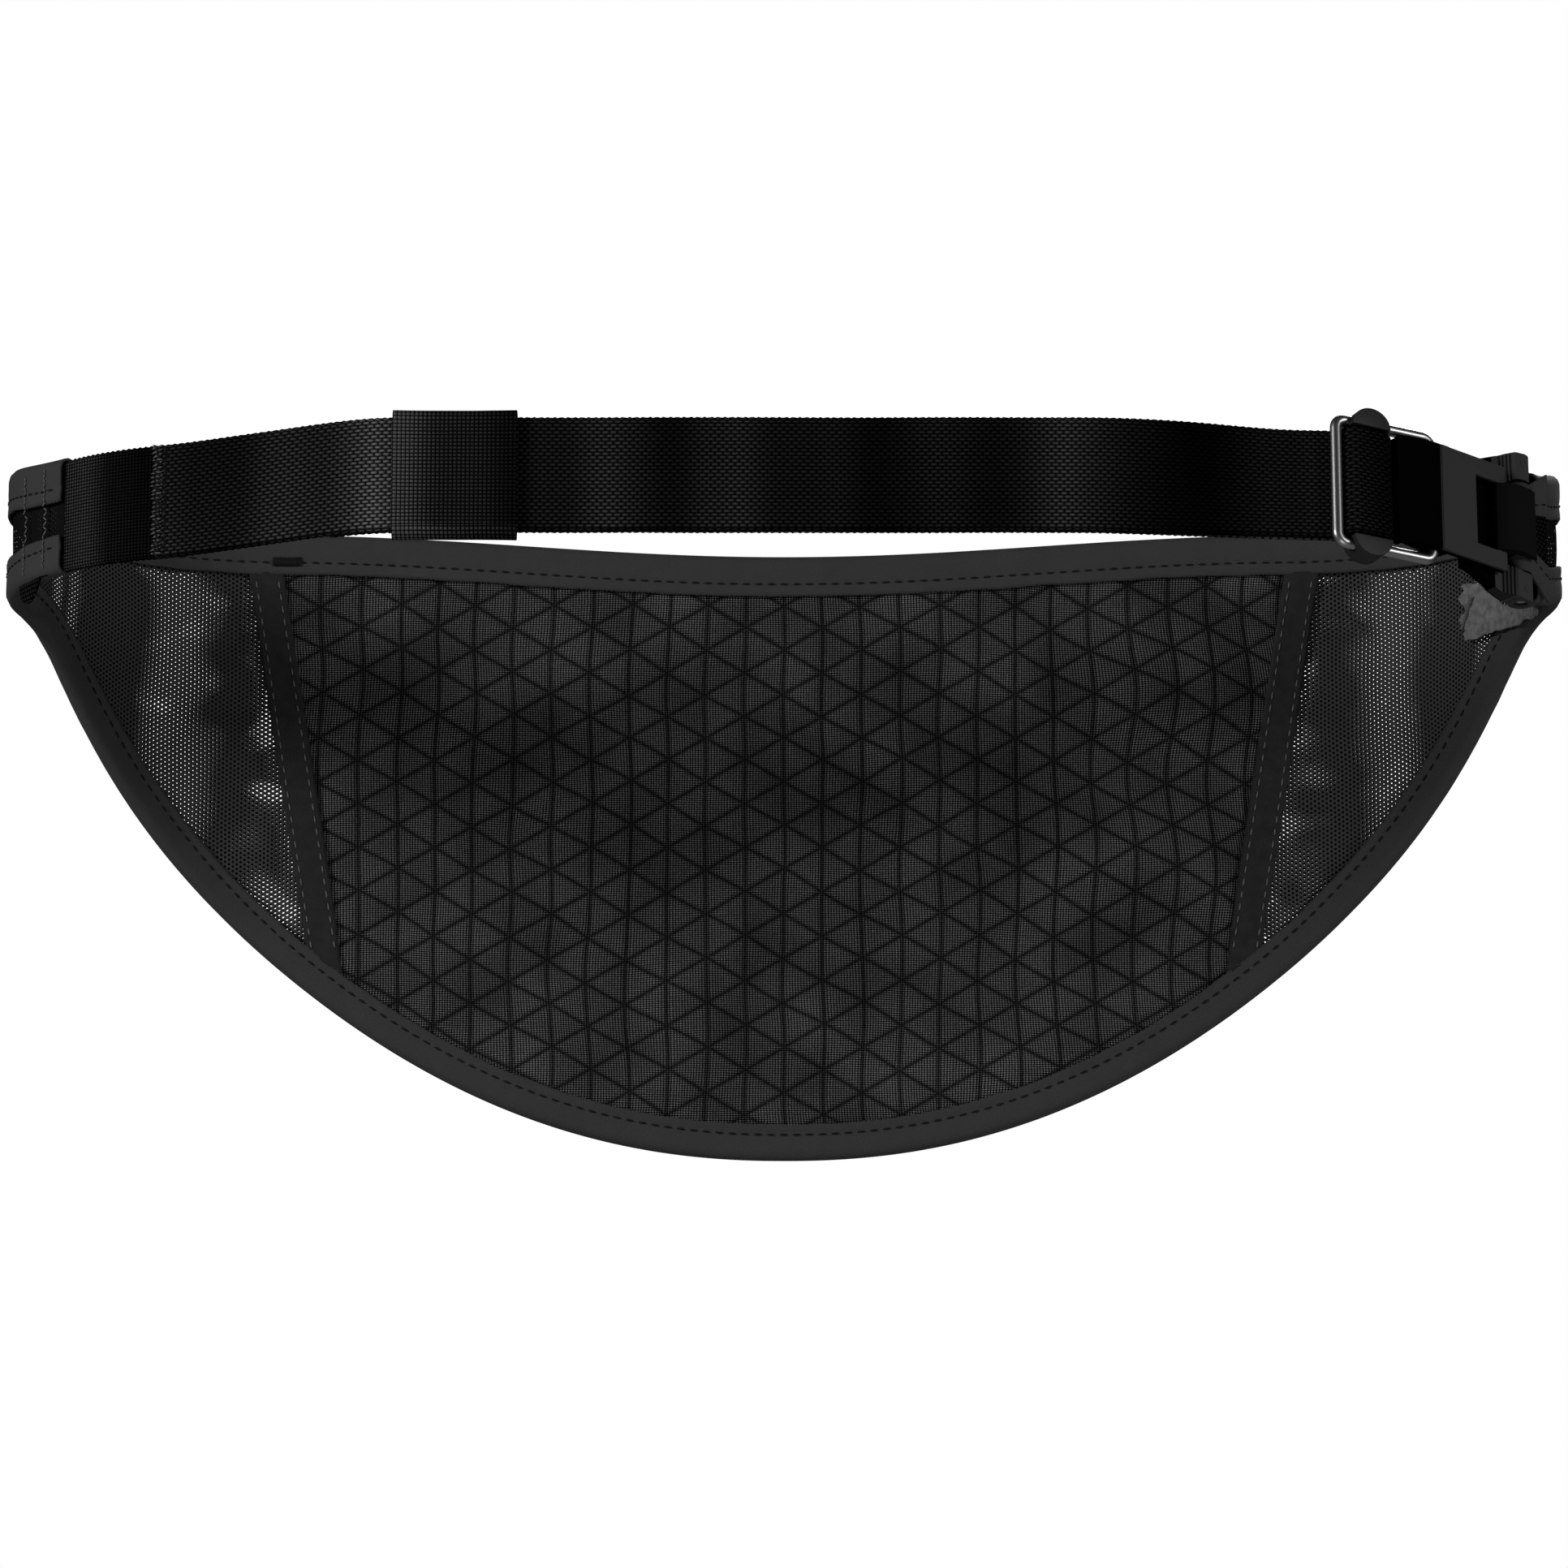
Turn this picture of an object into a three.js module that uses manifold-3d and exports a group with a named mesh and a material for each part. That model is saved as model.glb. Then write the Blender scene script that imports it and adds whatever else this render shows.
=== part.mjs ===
// Running money belt: a half-moon pouch, a 25 mm strap and a side-release hook buckle,
// closed in a loop as it is worn. Millimetres, +Z up, wearer inside the loop,
// pouch at +Y, strap at -Y, +X at the buckle end. The origin is on the loop's own axis.
import * as THREE from 'three';
import { mergeVertices } from 'three/addons/utils/BufferGeometryUtils.js';
import Module from 'manifold-3d';

const wasm = await Module();
wasm.setup();

// ---- loop plan: two straight runs joined by two half circles
const runHalf = 112.5;
const endRadius = 55;

// ---- pouch outline, heights above the origin
const pouchTop = 67.3;
const topDip = 5.1;
const topDipHalf = 118;
const pouchBottom = -76.1;
const bottomRise = 39.2;
const bottomRiseAt = 109;
const bottomRisePower = 2.2;
const tabShelf = 39;
const shelfBlend = 6;
const tabStart = 200;
const leftTabEnd = 241;
const leftTabTop = 63.4;
const leftTabBottom = 38.8;
const rightTabEnd = 229;
const rightTabTop = 62.4;
const rightTabBottom = 34.4;

// ---- cloth layers, offsets outward from the loop's middle surface
const gap = 0.3;
const panelInner = -1.5;
const panelThick = 1.2;
const meshThick = 0.6;
const meshOffset = 0.8;
const tapeThick = 0.6;
const tapeWidth = 8.2;
const seamAtOrigin = 112.9;
const seamSlope = 1 / 6;
const seamLap = 5;
const bindingOuter = 2.6;
const bindingThick = 0.7;
const topBindingWidth = 9.3;
const bottomBindingWidth = 7.8;
const edgeInset = 2;
const bindingEase = 1.5;

// ---- front of the pouch and its zip
const frontThick = 0.8;
const lowerRows = 9;
const upperRows = 4;
const frontLift = 1.5;
const pocketBulge = 8;
const zipHeight = 40;
const zipHalf = 95;
const zipGap = 4.4;
const zipTapeWidth = 7.5;
const zipTapeThick = 0.5;
const coilWidth = 2.3;
const coilThick = 1.4;
const stopLength = 3;
const sliderLength = 12;
const sliderPlate = 1.3;
const sliderFlange = 1;
const pullRod = 1.6;
const pullWindow = 5.6;
const pullLength = 26;
const pullWidth = 9;
const pullShoulder = 2;
const pullTaper = 0.7;
const pullArm = 1.2;
const bailThick = 1;
const bailPost = 1.2;
const bailHalf = 4;
const bailWidth = 1.2;
const zipParkedAt = 84;

// ---- strap
const strapWidth = 24.4;
const strapThick = 1.3;
const elasticThick = 1.4;
const elasticEnd = 264;
const strapHeight = 56.2;
const strapAtTab = 50.9;
const sagStart = 80;
const sagSpan = 52;
const tailEnd = -95;
const tailGap = 0.6;
const keeperAt = -69;
const keeperLength = 26;
const keeperThick = 1.2;
const keeperEase = 0.5;

// ---- adjuster ring and its sliding bar
const ringAt = 115.5;
const ringHeight = 54.5;
const ringYaw = THREE.MathUtils.degToRad(24);
const ringDrop = THREE.MathUtils.degToRad(5.5);
const ringRoll = THREE.MathUtils.degToRad(-10);
const ringLength = 22.8;
const ringWire = 1.2;
const ringCorner = 2;
const ringEase = 0.6;
const barAt = 7.2;
const barWidth = 8.2;
const barDepth = 2.6;
const bossHeight = 33.5;
const bossWidth = 9;
const bossDepth = 5.6;
const bossEase = 0.45;

// ---- hook, yoke and pin
const pinRun = 234.4;
const pinHeight = 48.2;
const pinRadius = 1.25;
const hookHeight = 24;
const hookWall = 1.3;
const legEase = 0.06;
const hookLip = 9.6;
const hookLipThick = 1.2;
const hookRoll = 2.2;
const plateEnd = 19;
const tongueHalf = 7.7;
const tongueEnd = 27;
const tongueBack = -3.3;
const hookChamfer = 0.6;
const windowNear = 10.5;
const windowFar = 16.5;
const windowHalf = 8;
const plateThick = 1.8;
const plateFront = -2.9;
const catchSlack = 1.7;
const catchDepth = 1.5;
const catchWidth = 2.2;
const yokeBarAt = 13.5;
const yokeBarWidth = 8;
const yokeBarFront = -0.3;
const yokeDepth = 2.6;
const yokeBarHalf = 12.3;
const yokeBossHalf = 17;
const yokeBossRadius = 2.7;
const yokeArm = 6.2;
const yokeRiseFrom = 19.6;
const yokeRiseTo = 22.4;
const loopThick = 1.2;
const loopHeight = 20;
const foldStart = 216;
const foldEnd = 227;
const foldInset = 3;

const endArc = Math.PI * endRadius;
const frontCentre = 2 * runHalf + endArc;
const strapLine = -endRadius;
const tailLine = strapLine + strapThick + tailGap;
const ringLine = strapLine - strapThick / 2 - gap - ringWire;
const railHeight = strapWidth / 2 + ringEase + ringWire;

// ---- shared helpers ------------------------------------------------------

// A point of the cloth pattern, run along the loop and offset outward, on the worn loop.
function wrap(run, offset, height) {
  const side = Math.sign(run) || 1;
  const along = Math.abs(run);
  const radius = endRadius + offset;
  if (along <= runHalf) {
    return new THREE.Vector3(run, radius, height);
  }
  if (along <= runHalf + endArc) {
    const turn = (along - runHalf) / endRadius;
    return new THREE.Vector3(side * (runHalf + radius * Math.sin(turn)), radius * Math.cos(turn), height);
  }
  return new THREE.Vector3(side * (frontCentre - along), -radius, height);
}

function smooth(from, to, value) {
  return THREE.MathUtils.smoothstep(value, from, to);
}

function softMin(a, b, blend) {
  return -blend * Math.log(Math.exp(-a / blend) + Math.exp(-b / blend));
}

function topEdge(run) {
  const along = Math.abs(run);
  const dip = along < topDipHalf ? topDip * 0.5 * (1 + Math.cos(Math.PI * along / topDipHalf)) : 0;
  const tabTop = run < 0 ? leftTabTop : rightTabTop;
  const tabEnd = run < 0 ? leftTabEnd : rightTabEnd;
  return pouchTop - dip + (tabTop - pouchTop) * smooth(tabStart, tabEnd, along);
}

function bottomEdge(run) {
  const along = Math.abs(run);
  const curve = pouchBottom + bottomRise * (along / bottomRiseAt) ** bottomRisePower;
  const tabBottom = run < 0 ? leftTabBottom : rightTabBottom;
  const tabEnd = run < 0 ? leftTabEnd : rightTabEnd;
  return softMin(curve, tabShelf, shelfBlend) + (tabBottom - tabShelf) * smooth(tabStart, tabEnd, along);
}

function seamRun(height) {
  return seamAtOrigin + seamSlope * height;
}

// Moves every vertex of a geometry through a function, and welds it into one closed skin.
function shaped(geometry, move) {
  const source = geometry.index ? geometry.toNonIndexed() : geometry;
  const position = source.getAttribute('position');
  const point = new THREE.Vector3();
  for (let i = 0; i < position.count; i += 1) {
    point.fromBufferAttribute(position, i);
    const moved = move(point);
    position.setXYZ(i, moved.x, moved.y, moved.z);
  }
  return welded(source);
}

function welded(geometry) {
  const plain = geometry.clone();
  plain.deleteAttribute('normal');
  plain.deleteAttribute('uv');
  const solid = mergeVertices(plain, 1e-4);
  solid.computeVertexNormals();
  return solid;
}

function toSolid(geometry) {
  const skin = welded(geometry);
  const vertProperties = new Float32Array(skin.getAttribute('position').array);
  const triVerts = new Uint32Array(skin.index.array);
  return new wasm.Manifold(new wasm.Mesh({ numProp: 3, vertProperties, triVerts }));
}

function fromSolid(solid) {
  const mesh = solid.getMesh();
  const geometry = new THREE.BufferGeometry();
  geometry.setAttribute('position', new THREE.BufferAttribute(mesh.vertProperties, 3));
  geometry.setIndex(new THREE.BufferAttribute(mesh.triVerts, 1));
  geometry.computeVertexNormals();
  return geometry;
}

// A cloth sheet between two offsets: across and up run from 0 to 1.
function sheet(acrossSteps, upSteps, place) {
  const block = new THREE.BoxGeometry(1, 1, 1, acrossSteps, 1, upSteps);
  return shaped(block, (p) => place(p.x + 0.5, p.y + 0.5, p.z + 0.5));
}

// A flat outline extruded upward, centred on height 0.
function upright(shape, height, steps = 1) {
  const block = new THREE.ExtrudeGeometry(shape, { depth: height, steps, bevelEnabled: false });
  block.translate(0, 0, -height / 2);
  return block;
}

function cylinder(radius, length, sides = 16) {
  return new THREE.CylinderGeometry(radius, radius, length, sides);
}

function box(x0, x1, y0, y1, z0, z1) {
  const block = new THREE.BoxGeometry(x1 - x0, y1 - y0, z1 - z0);
  block.translate((x0 + x1) / 2, (y0 + y1) / 2, (z0 + z1) / 2);
  return block;
}

// ---- materials -----------------------------------------------------------

function finish(color, roughness, metalness = 0) {
  return new THREE.MeshStandardMaterial({ color, roughness, metalness });
}

const knitFinish = () => finish(0x17181a, 0.9);
const meshFinish = () => finish(0x101113, 0.85);
const bindingFinish = () => finish(0x34363a, 0.85);
const tapeFinish = () => finish(0x0c0d0f, 0.8);
const strapFinish = () => finish(0x0b0c0e, 0.75);
const wireFinish = () => finish(0x55585c, 0.18, 1);
const plasticFinish = () => finish(0x0e0f10, 0.5);

const belt = new THREE.Group();

function add(name, geometry, material, group = belt) {
  const mesh = new THREE.Mesh(geometry, material);
  mesh.name = name;
  group.add(mesh);
  return mesh;
}

// ---- pouch panels --------------------------------------------------------

// Bulge of the pocket front: none under the bindings, at the seams and along the zip.
function pocketOffset(run, height) {
  const across = Math.max(0, 1 - (run / seamRun(height)) ** 2);
  const low = bottomClear(run);
  const up = THREE.MathUtils.clamp((height - low) / (zipHeight - zipGap - low), 0, 1);
  const body = Math.sin(Math.PI * up) ** 0.8;
  const lift = frontLift * smooth(0, 0.35, up) * smooth(0, 4, topClear(run) - height);
  return lift * smooth(0, 0.15, across) + pocketBulge * across * body;
}

// A spot of a centre panel, from half -1 at the left seam to 1 at the right.
function panelSpot(half, heightAt) {
  const guess = heightAt(half * runHalf);
  const run = half * (seamRun(guess) - seamLap);
  return { run, height: heightAt(run) };
}

function backPanel() {
  return sheet(18, 6, (across, out, up) => {
    const spot = panelSpot(2 * across - 1, (run) => {
      const low = bottomEdge(run) + edgeInset;
      return low + (topEdge(run) - edgeInset - low) * up;
    });
    return wrap(spot.run, panelInner + panelThick * out, spot.height);
  });
}

// The front's rows of vertices: one band lies under the binding, the rest is free to bulge.
function frontPanel(heightAt, upSteps) {
  return sheet(18, upSteps, (across, out, up) => {
    const spot = panelSpot(2 * across - 1, (run) => heightAt(run, up * upSteps));
    const offset = gap + pocketOffset(spot.run, spot.height) + frontThick * out;
    return wrap(spot.run, offset, spot.height);
  });
}

function bottomClear(run) {
  const slope = bottomEdge(run + 0.5) - bottomEdge(run - 0.5);
  return bottomEdge(run) + (bottomBindingWidth + bindingEase) * Math.hypot(1, slope);
}

function topClear(run) {
  return topEdge(run) - topBindingWidth - bindingEase;
}

function lowerHeight(run, row) {
  const low = bottomEdge(run) + edgeInset;
  if (row < 1) {
    return low + (bottomClear(run) - low) * row;
  }
  return bottomClear(run) + (zipHeight - zipGap - bottomClear(run)) * (row - 1) / (lowerRows - 1);
}

function upperHeight(run, row) {
  const low = zipHeight + zipGap;
  const free = upperRows - 1;
  if (row < free) {
    return low + (topClear(run) - low) * row / free;
  }
  return topClear(run) + (topEdge(run) - edgeInset - topClear(run)) * (row - free);
}

// Two-bar mesh wing, from the seam to the tab end.
function wingMesh(side, offset) {
  const tabEnd = side < 0 ? leftTabEnd : rightTabEnd;
  return sheet(22, 3, (across, out, up) => {
    const part = side < 0 ? 1 - across : across;
    const start = seamAtOrigin;
    const guess = side * (start + (tabEnd - start) * part);
    const low = bottomEdge(guess) + edgeInset;
    const high = topEdge(guess) - edgeInset;
    const seam = seamRun(low * (1 - up) + high * up) - seamLap + 2 * gap;
    const run = side * (seam + (tabEnd - seam) * part);
    const bottom = bottomEdge(run) + edgeInset;
    const height = bottom + (topEdge(run) - edgeInset - bottom) * up;
    return wrap(run, offset - meshThick / 2 + meshThick * out, height);
  });
}

function seamTape(side) {
  const outer = panelInner - gap - tapeThick;
  return sheet(2, 8, (across, out, up) => {
    const edge = seamAtOrigin - tapeWidth / 2;
    const low = bottomEdge(side * edge) + bottomBindingWidth + 5;
    const high = topEdge(side * edge) - topBindingWidth - 1;
    const height = low + (high - low) * up;
    const run = side * (seamRun(height) - tapeWidth) + (side < 0 ? across - 1 : across) * tapeWidth;
    return wrap(run, outer + tapeThick * out, height);
  });
}

// ---- folded edge binding: a U section swept along an outline of the pouch
function binding(edge, width, direction, from, to, steps) {
  const outer = bindingOuter;
  const inner = bindingOuter - bindingThick;
  const section = new THREE.Shape();
  section.moveTo(-outer, 0);
  section.lineTo(outer, 0);
  section.lineTo(outer, width);
  section.lineTo(inner, width);
  section.lineTo(inner, bindingThick);
  section.lineTo(-inner, bindingThick);
  section.lineTo(-inner, width);
  section.lineTo(-outer, width);
  const strip = new THREE.ExtrudeGeometry(section, { depth: 1, steps, bevelEnabled: false });
  const probe = 0.5;
  const bend = (p) => {
    const run = direction > 0 ? from + (to - from) * p.z : to + (from - to) * p.z;
    const slope = (edge(run + probe) - edge(run - probe)) / (2 * probe);
    const length = Math.hypot(1, slope);
    const inward = direction * p.y;
    return wrap(run - inward * slope / length, p.x, edge(run) + inward / length);
  };
  return shaped(strip, bend);
}

add('back_panel', backPanel(), knitFinish());
add('seam_tape_left', seamTape(-1), tapeFinish());
add('seam_tape_right', seamTape(1), tapeFinish());
for (const [label, side] of [['left', -1], ['right', 1]]) {
  add(`wing_mesh_${label}_inner`, wingMesh(side, -meshOffset), meshFinish());
  add(`wing_mesh_${label}_outer`, wingMesh(side, meshOffset), meshFinish());
}
add('front_panel_lower', frontPanel(lowerHeight, lowerRows), knitFinish());
add('front_panel_upper', frontPanel(upperHeight, upperRows), knitFinish());
add('top_binding', binding(topEdge, topBindingWidth, -1, -leftTabEnd, rightTabEnd, 56), bindingFinish());
add(
  'bottom_binding',
  binding(bottomEdge, bottomBindingWidth, 1, -leftTabEnd, rightTabEnd, 64),
  bindingFinish(),
);

// ---- zip, laid flat along the straight back run
const tapeOut = endRadius + gap + frontLift - gap;
const tapeIn = tapeOut - zipTapeThick;
const coilIn = tapeOut + gap;
const coilOut = coilIn + coilThick;
const coilGap = gap / 2;

function zipStrip(side, near, far, y0, y1, half) {
  const z0 = zipHeight + side * near;
  const z1 = zipHeight + side * far;
  return box(-half, half, y0, y1, Math.min(z0, z1), Math.max(z0, z1));
}

for (const [label, side] of [['lower', -1], ['upper', 1]]) {
  add(`zip_tape_${label}`, zipStrip(side, coilGap, zipTapeWidth, tapeIn, tapeOut, zipHalf), tapeFinish());
  const coilHalf = zipHalf - stopLength - gap;
  add(`zip_coil_${label}`, zipStrip(side, coilGap, coilWidth, coilIn, coilOut, coilHalf), plasticFinish());
}
for (const [label, side] of [['left', -1], ['right', 1]]) {
  const stop = box(-stopLength / 2, stopLength / 2, coilIn, coilOut, -coilWidth, coilWidth);
  stop.translate(side * (zipHalf - stopLength / 2), 0, zipHeight);
  add(`zip_stop_${label}`, stop, plasticFinish());
}

// Slider: a top plate with two flanges beside the coils, and a bail for the pull.
const sliderIn = coilOut + gap;
const sliderOut = sliderIn + sliderPlate;
const flangeNear = coilWidth + gap;
const flangeFar = flangeNear + sliderFlange;
const rodLine = sliderOut + gap + pullRod / 2;
const bailIn = rodLine + pullRod / 2 + gap;

function zipSlider() {
  const half = sliderLength / 2;
  let body = toSolid(box(-half, half, sliderIn, sliderOut, -flangeFar, flangeFar));
  for (const side of [-1, 1]) {
    const inner = side > 0 ? flangeNear : -flangeFar;
    const flange = box(-half, half, coilIn, sliderIn + gap, inner, inner + sliderFlange);
    body = body.add(toSolid(flange));
    const foot = side > 0 ? bailHalf - bailPost : -bailHalf;
    const post = box(foot, foot + bailPost, sliderOut - gap, bailIn + bailThick, -bailWidth, bailWidth);
    body = body.add(toSolid(post));
  }
  body = body.add(toSolid(box(-bailHalf, bailHalf, bailIn, bailIn + bailThick, -bailWidth, bailWidth)));
  const shape = fromSolid(body);
  shape.translate(zipParkedAt, 0, zipHeight);
  return shape;
}

// Pull tab: a rod under the bail, two arms and a tapered grip.
function zipPull() {
  const half = pullWidth / 2;
  const tip = half * pullTaper;
  const shoulder = -pullWindow - pullShoulder;
  const outline = new THREE.Shape();
  outline.moveTo(pullRod / 2, -half);
  outline.lineTo(pullRod / 2, half);
  outline.lineTo(shoulder, half);
  outline.lineTo(tip - pullLength, tip);
  outline.absarc(tip - pullLength, 0, tip, Math.PI / 2, 3 * Math.PI / 2, false);
  outline.lineTo(shoulder, -half);
  const eye = new THREE.Path();
  const reach = half - pullArm;
  eye.moveTo(-pullRod / 2, -reach);
  eye.lineTo(-pullWindow, -reach);
  eye.lineTo(-pullWindow, reach);
  eye.lineTo(-pullRod / 2, reach);
  outline.holes.push(eye);
  const tab = upright(outline, pullRod);
  return shaped(tab, (p) => new THREE.Vector3(zipParkedAt + p.x, rodLine - p.z, zipHeight + p.y));
}

add('zip_slider', zipSlider(), wireFinish());
add('zip_pull', zipPull(), wireFinish());

// ---- strap ---------------------------------------------------------------

// Middle height of the strap along the front run.
function strapMiddle(x) {
  const left = (strapAtTab - strapHeight) * smooth(sagStart, sagStart + sagSpan, -x);
  const right = (ringHeight - strapHeight) * smooth(60, 110, x);
  return strapHeight + left + right;
}

const ringTurn = new THREE.Vector3(-Math.sin(ringYaw), Math.cos(ringYaw), 0);
const ringRail = new THREE.Vector3(Math.cos(ringYaw), Math.sin(ringYaw), 0).applyAxisAngle(ringTurn, ringDrop);
const ringSpot = new THREE.Vector3(ringAt, ringLine, ringHeight);

// Sets an upright spot of the strap to its height, and tips and rolls its end with the ring.
function settle(p) {
  const placed = new THREE.Vector3(p.x, p.y, p.z + strapMiddle(p.x)).sub(ringSpot);
  const part = smooth(72, 108, p.x);
  placed.applyAxisAngle(ringTurn, ringDrop * part).applyAxisAngle(ringRail, ringRoll * part);
  return placed.add(ringSpot);
}

// A ribbon along a line in plan, thickened to both sides and widened upward.
function ribbon(points, thickness, width, upSteps) {
  const last = points.length - 1;
  return sheet(last, upSteps, (across, out, up) => {
    const i = Math.round(across * last);
    const along = points[Math.min(last, i + 1)].clone().sub(points[Math.max(0, i - 1)]).normalize();
    const shift = thickness * (out - 0.5);
    const x = points[i].x - along.y * shift;
    const y = points[i].y + along.x * shift;
    return settle(new THREE.Vector3(x, y, width * (up - 0.5)));
  });
}

function planArc(centre, radius, from, to, steps) {
  const points = [];
  for (let i = 0; i <= steps; i += 1) {
    const angle = THREE.MathUtils.degToRad(from + (to - from) * i / steps);
    points.push(new THREE.Vector2(centre.x + radius * Math.cos(angle), centre.y + radius * Math.sin(angle)));
  }
  return points;
}

// A point of the ring's plan, along its rails and toward the wearer, on the loop's plan.
function ringPlan(point) {
  return point.clone().rotateAround(new THREE.Vector2(), ringYaw).add(new THREE.Vector2(ringAt, ringLine));
}

// Webbing: from the elastic round to the front, behind the ring's near leg, over the
// sliding bar, round it, and back as the tail behind the strap.
function webbingLine() {
  const line = [];
  const first = elasticEnd + gap;
  const arcEnd = runHalf + endArc;
  for (let i = 0; i < 5; i += 1) {
    const spot = wrap(-(first + (arcEnd - first) * i / 5), 0, 0);
    line.push(new THREE.Vector2(spot.x, spot.y));
  }
  for (let x = -runHalf; x < ringAt - 6; x += 12) {
    line.push(new THREE.Vector2(x, strapLine));
  }
  const half = strapThick / 2;
  const round = ringWire + gap + half;
  const cornerRadius = 1;
  const bend = cornerRadius + gap + half;
  const leftCorner = new THREE.Vector2(barAt - barWidth / 2 + cornerRadius, -barDepth / 2 + cornerRadius);
  const wrapRadius = barDepth / 2 + gap + half;
  const rightEnd = new THREE.Vector2(barAt + barWidth / 2 - barDepth / 2, 0);
  const threaded = [
    ...planArc(new THREE.Vector2(), round, 66, 12, 5),
    ...planArc(leftCorner, bend, 192, 270, 5),
    ...planArc(rightEnd, wrapRadius, 270, 450, 10),
  ];
  line.push(...threaded.map(ringPlan));
  for (let x = ringAt; x > tailEnd; x -= 12) {
    line.push(new THREE.Vector2(x, tailLine));
  }
  line.push(new THREE.Vector2(tailEnd, tailLine));
  return line;
}

add('webbing', ribbon(webbingLine(), strapThick, strapWidth, 2), strapFinish());

function elasticStrap() {
  const steps = 8;
  return sheet(steps, 2, (across, out, up) => {
    const run = -elasticEnd + (elasticEnd - leftTabEnd - gap) * across;
    const height = strapAtTab + strapWidth * (up - 0.5);
    return wrap(run, elasticThick * (out - 0.5), height);
  });
}

add('elastic_strap', elasticStrap(), strapFinish());

// Keeper: a loop of elastic round the strap and its tail.
function keeperLoop() {
  const front = strapLine - strapThick / 2 - gap;
  const back = tailLine + strapThick / 2 + gap;
  const half = strapWidth / 2 + keeperEase;
  const outline = new THREE.Shape();
  outline.moveTo(front - keeperThick, -half - keeperThick);
  outline.lineTo(back + keeperThick, -half - keeperThick);
  outline.lineTo(back + keeperThick, half + keeperThick);
  outline.lineTo(front - keeperThick, half + keeperThick);
  const inside = new THREE.Path();
  inside.moveTo(front, -half);
  inside.lineTo(front, half);
  inside.lineTo(back, half);
  inside.lineTo(back, -half);
  outline.holes.push(inside);
  const loop = upright(outline, keeperLength);
  return shaped(loop, (p) => new THREE.Vector3(keeperAt + p.z, p.x, strapHeight + p.y));
}

add('keeper_loop', keeperLoop(), strapFinish());

// ---- adjuster ring, in a group that stands at its near leg ---------------

const ringGroup = new THREE.Group();
ringGroup.position.copy(ringSpot);
ringGroup.rotation.set(ringRoll, ringDrop, ringYaw, 'ZYX');
belt.add(ringGroup);

// Round wire bent into a rectangle with rounded corners, and welded shut.
function ringWireLoop() {
  const outline = new THREE.Path();
  const right = ringLength - ringCorner;
  const high = railHeight - ringCorner;
  outline.moveTo(ringLength, 0);
  outline.absarc(right, high, ringCorner, 0, Math.PI / 2, false);
  outline.absarc(ringCorner, high, ringCorner, Math.PI / 2, Math.PI, false);
  outline.absarc(ringCorner, -high, ringCorner, Math.PI, 3 * Math.PI / 2, false);
  outline.absarc(right, -high, ringCorner, 3 * Math.PI / 2, 2 * Math.PI, false);
  outline.lineTo(ringLength, 0);
  const steps = 64;
  const spots = outline.getSpacedPoints(steps);
  const coreRadius = 10;
  const core = new THREE.TorusGeometry(coreRadius, ringWire, 10, steps);
  return shaped(core, (p) => {
    const turn = (Math.atan2(p.y, p.x) + 2 * Math.PI) % (2 * Math.PI);
    const i = Math.round(turn / (2 * Math.PI) * steps) % steps;
    const ahead = spots[(i + 1) % steps];
    const behind = spots[(i + steps - 1) % steps];
    const along = ahead.clone().sub(behind).normalize();
    const out = Math.hypot(p.x, p.y) - coreRadius;
    return new THREE.Vector3(spots[i].x + along.y * out, -p.z, spots[i].y - along.x * out);
  });
}

add('ring_wire', ringWireLoop(), wireFinish(), ringGroup);

// Sliding bar: a flat bar across the ring with a half-moon boss round each rail.
function slidingBar() {
  const half = barDepth / 2;
  const left = barAt - barWidth / 2;
  const rightEnd = barAt + barWidth / 2 - half;
  const corner = 1;
  const section = new THREE.Shape();
  section.moveTo(rightEnd, -half);
  section.absarc(rightEnd, 0, half, -Math.PI / 2, Math.PI / 2, false);
  section.absarc(left + corner, half - corner, corner, Math.PI / 2, Math.PI, false);
  section.absarc(left + corner, -half + corner, corner, Math.PI, 3 * Math.PI / 2, false);
  const reach = strapWidth / 2 + ringEase;
  let bar = toSolid(upright(section, 2 * reach));
  for (const side of [-1, 1]) {
    const moon = new THREE.Shape();
    const flat = side * (strapWidth / 2 + bossEase);
    const tall = bossHeight / 2 - Math.abs(flat);
    moon.moveTo(-bossWidth / 2, 0);
    moon.lineTo(bossWidth / 2, 0);
    moon.absellipse(0, 0, bossWidth / 2, tall, 0, Math.PI, false, 0);
    const boss = upright(moon, bossDepth);
    const set = shaped(boss, (p) => new THREE.Vector3(barAt + p.x, -side * p.z, flat + side * p.y));
    bar = bar.add(toSolid(set));
    const bore = cylinder(ringWire + gap, bossWidth * 2);
    bore.rotateZ(Math.PI / 2);
    bore.translate(barAt, 0, side * railHeight);
    bar = bar.subtract(toSolid(bore));
  }
  return fromSolid(bar);
}

add('slider_bar', slidingBar(), plasticFinish(), ringGroup);

// ---- hook and yoke, in a group that stands at the ring's far leg and points at the pin

const pinSpot = wrap(pinRun, 0, pinHeight).sub(ringSpot);
pinSpot.applyQuaternion(ringGroup.quaternion.clone().invert());
const pinAt = Math.hypot(pinSpot.x - ringLength, pinSpot.y);

const buckle = new THREE.Group();
buckle.position.set(ringLength, 0, 0);
buckle.rotation.z = Math.atan2(pinSpot.y, pinSpot.x - ringLength);
ringGroup.add(buckle);

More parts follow.
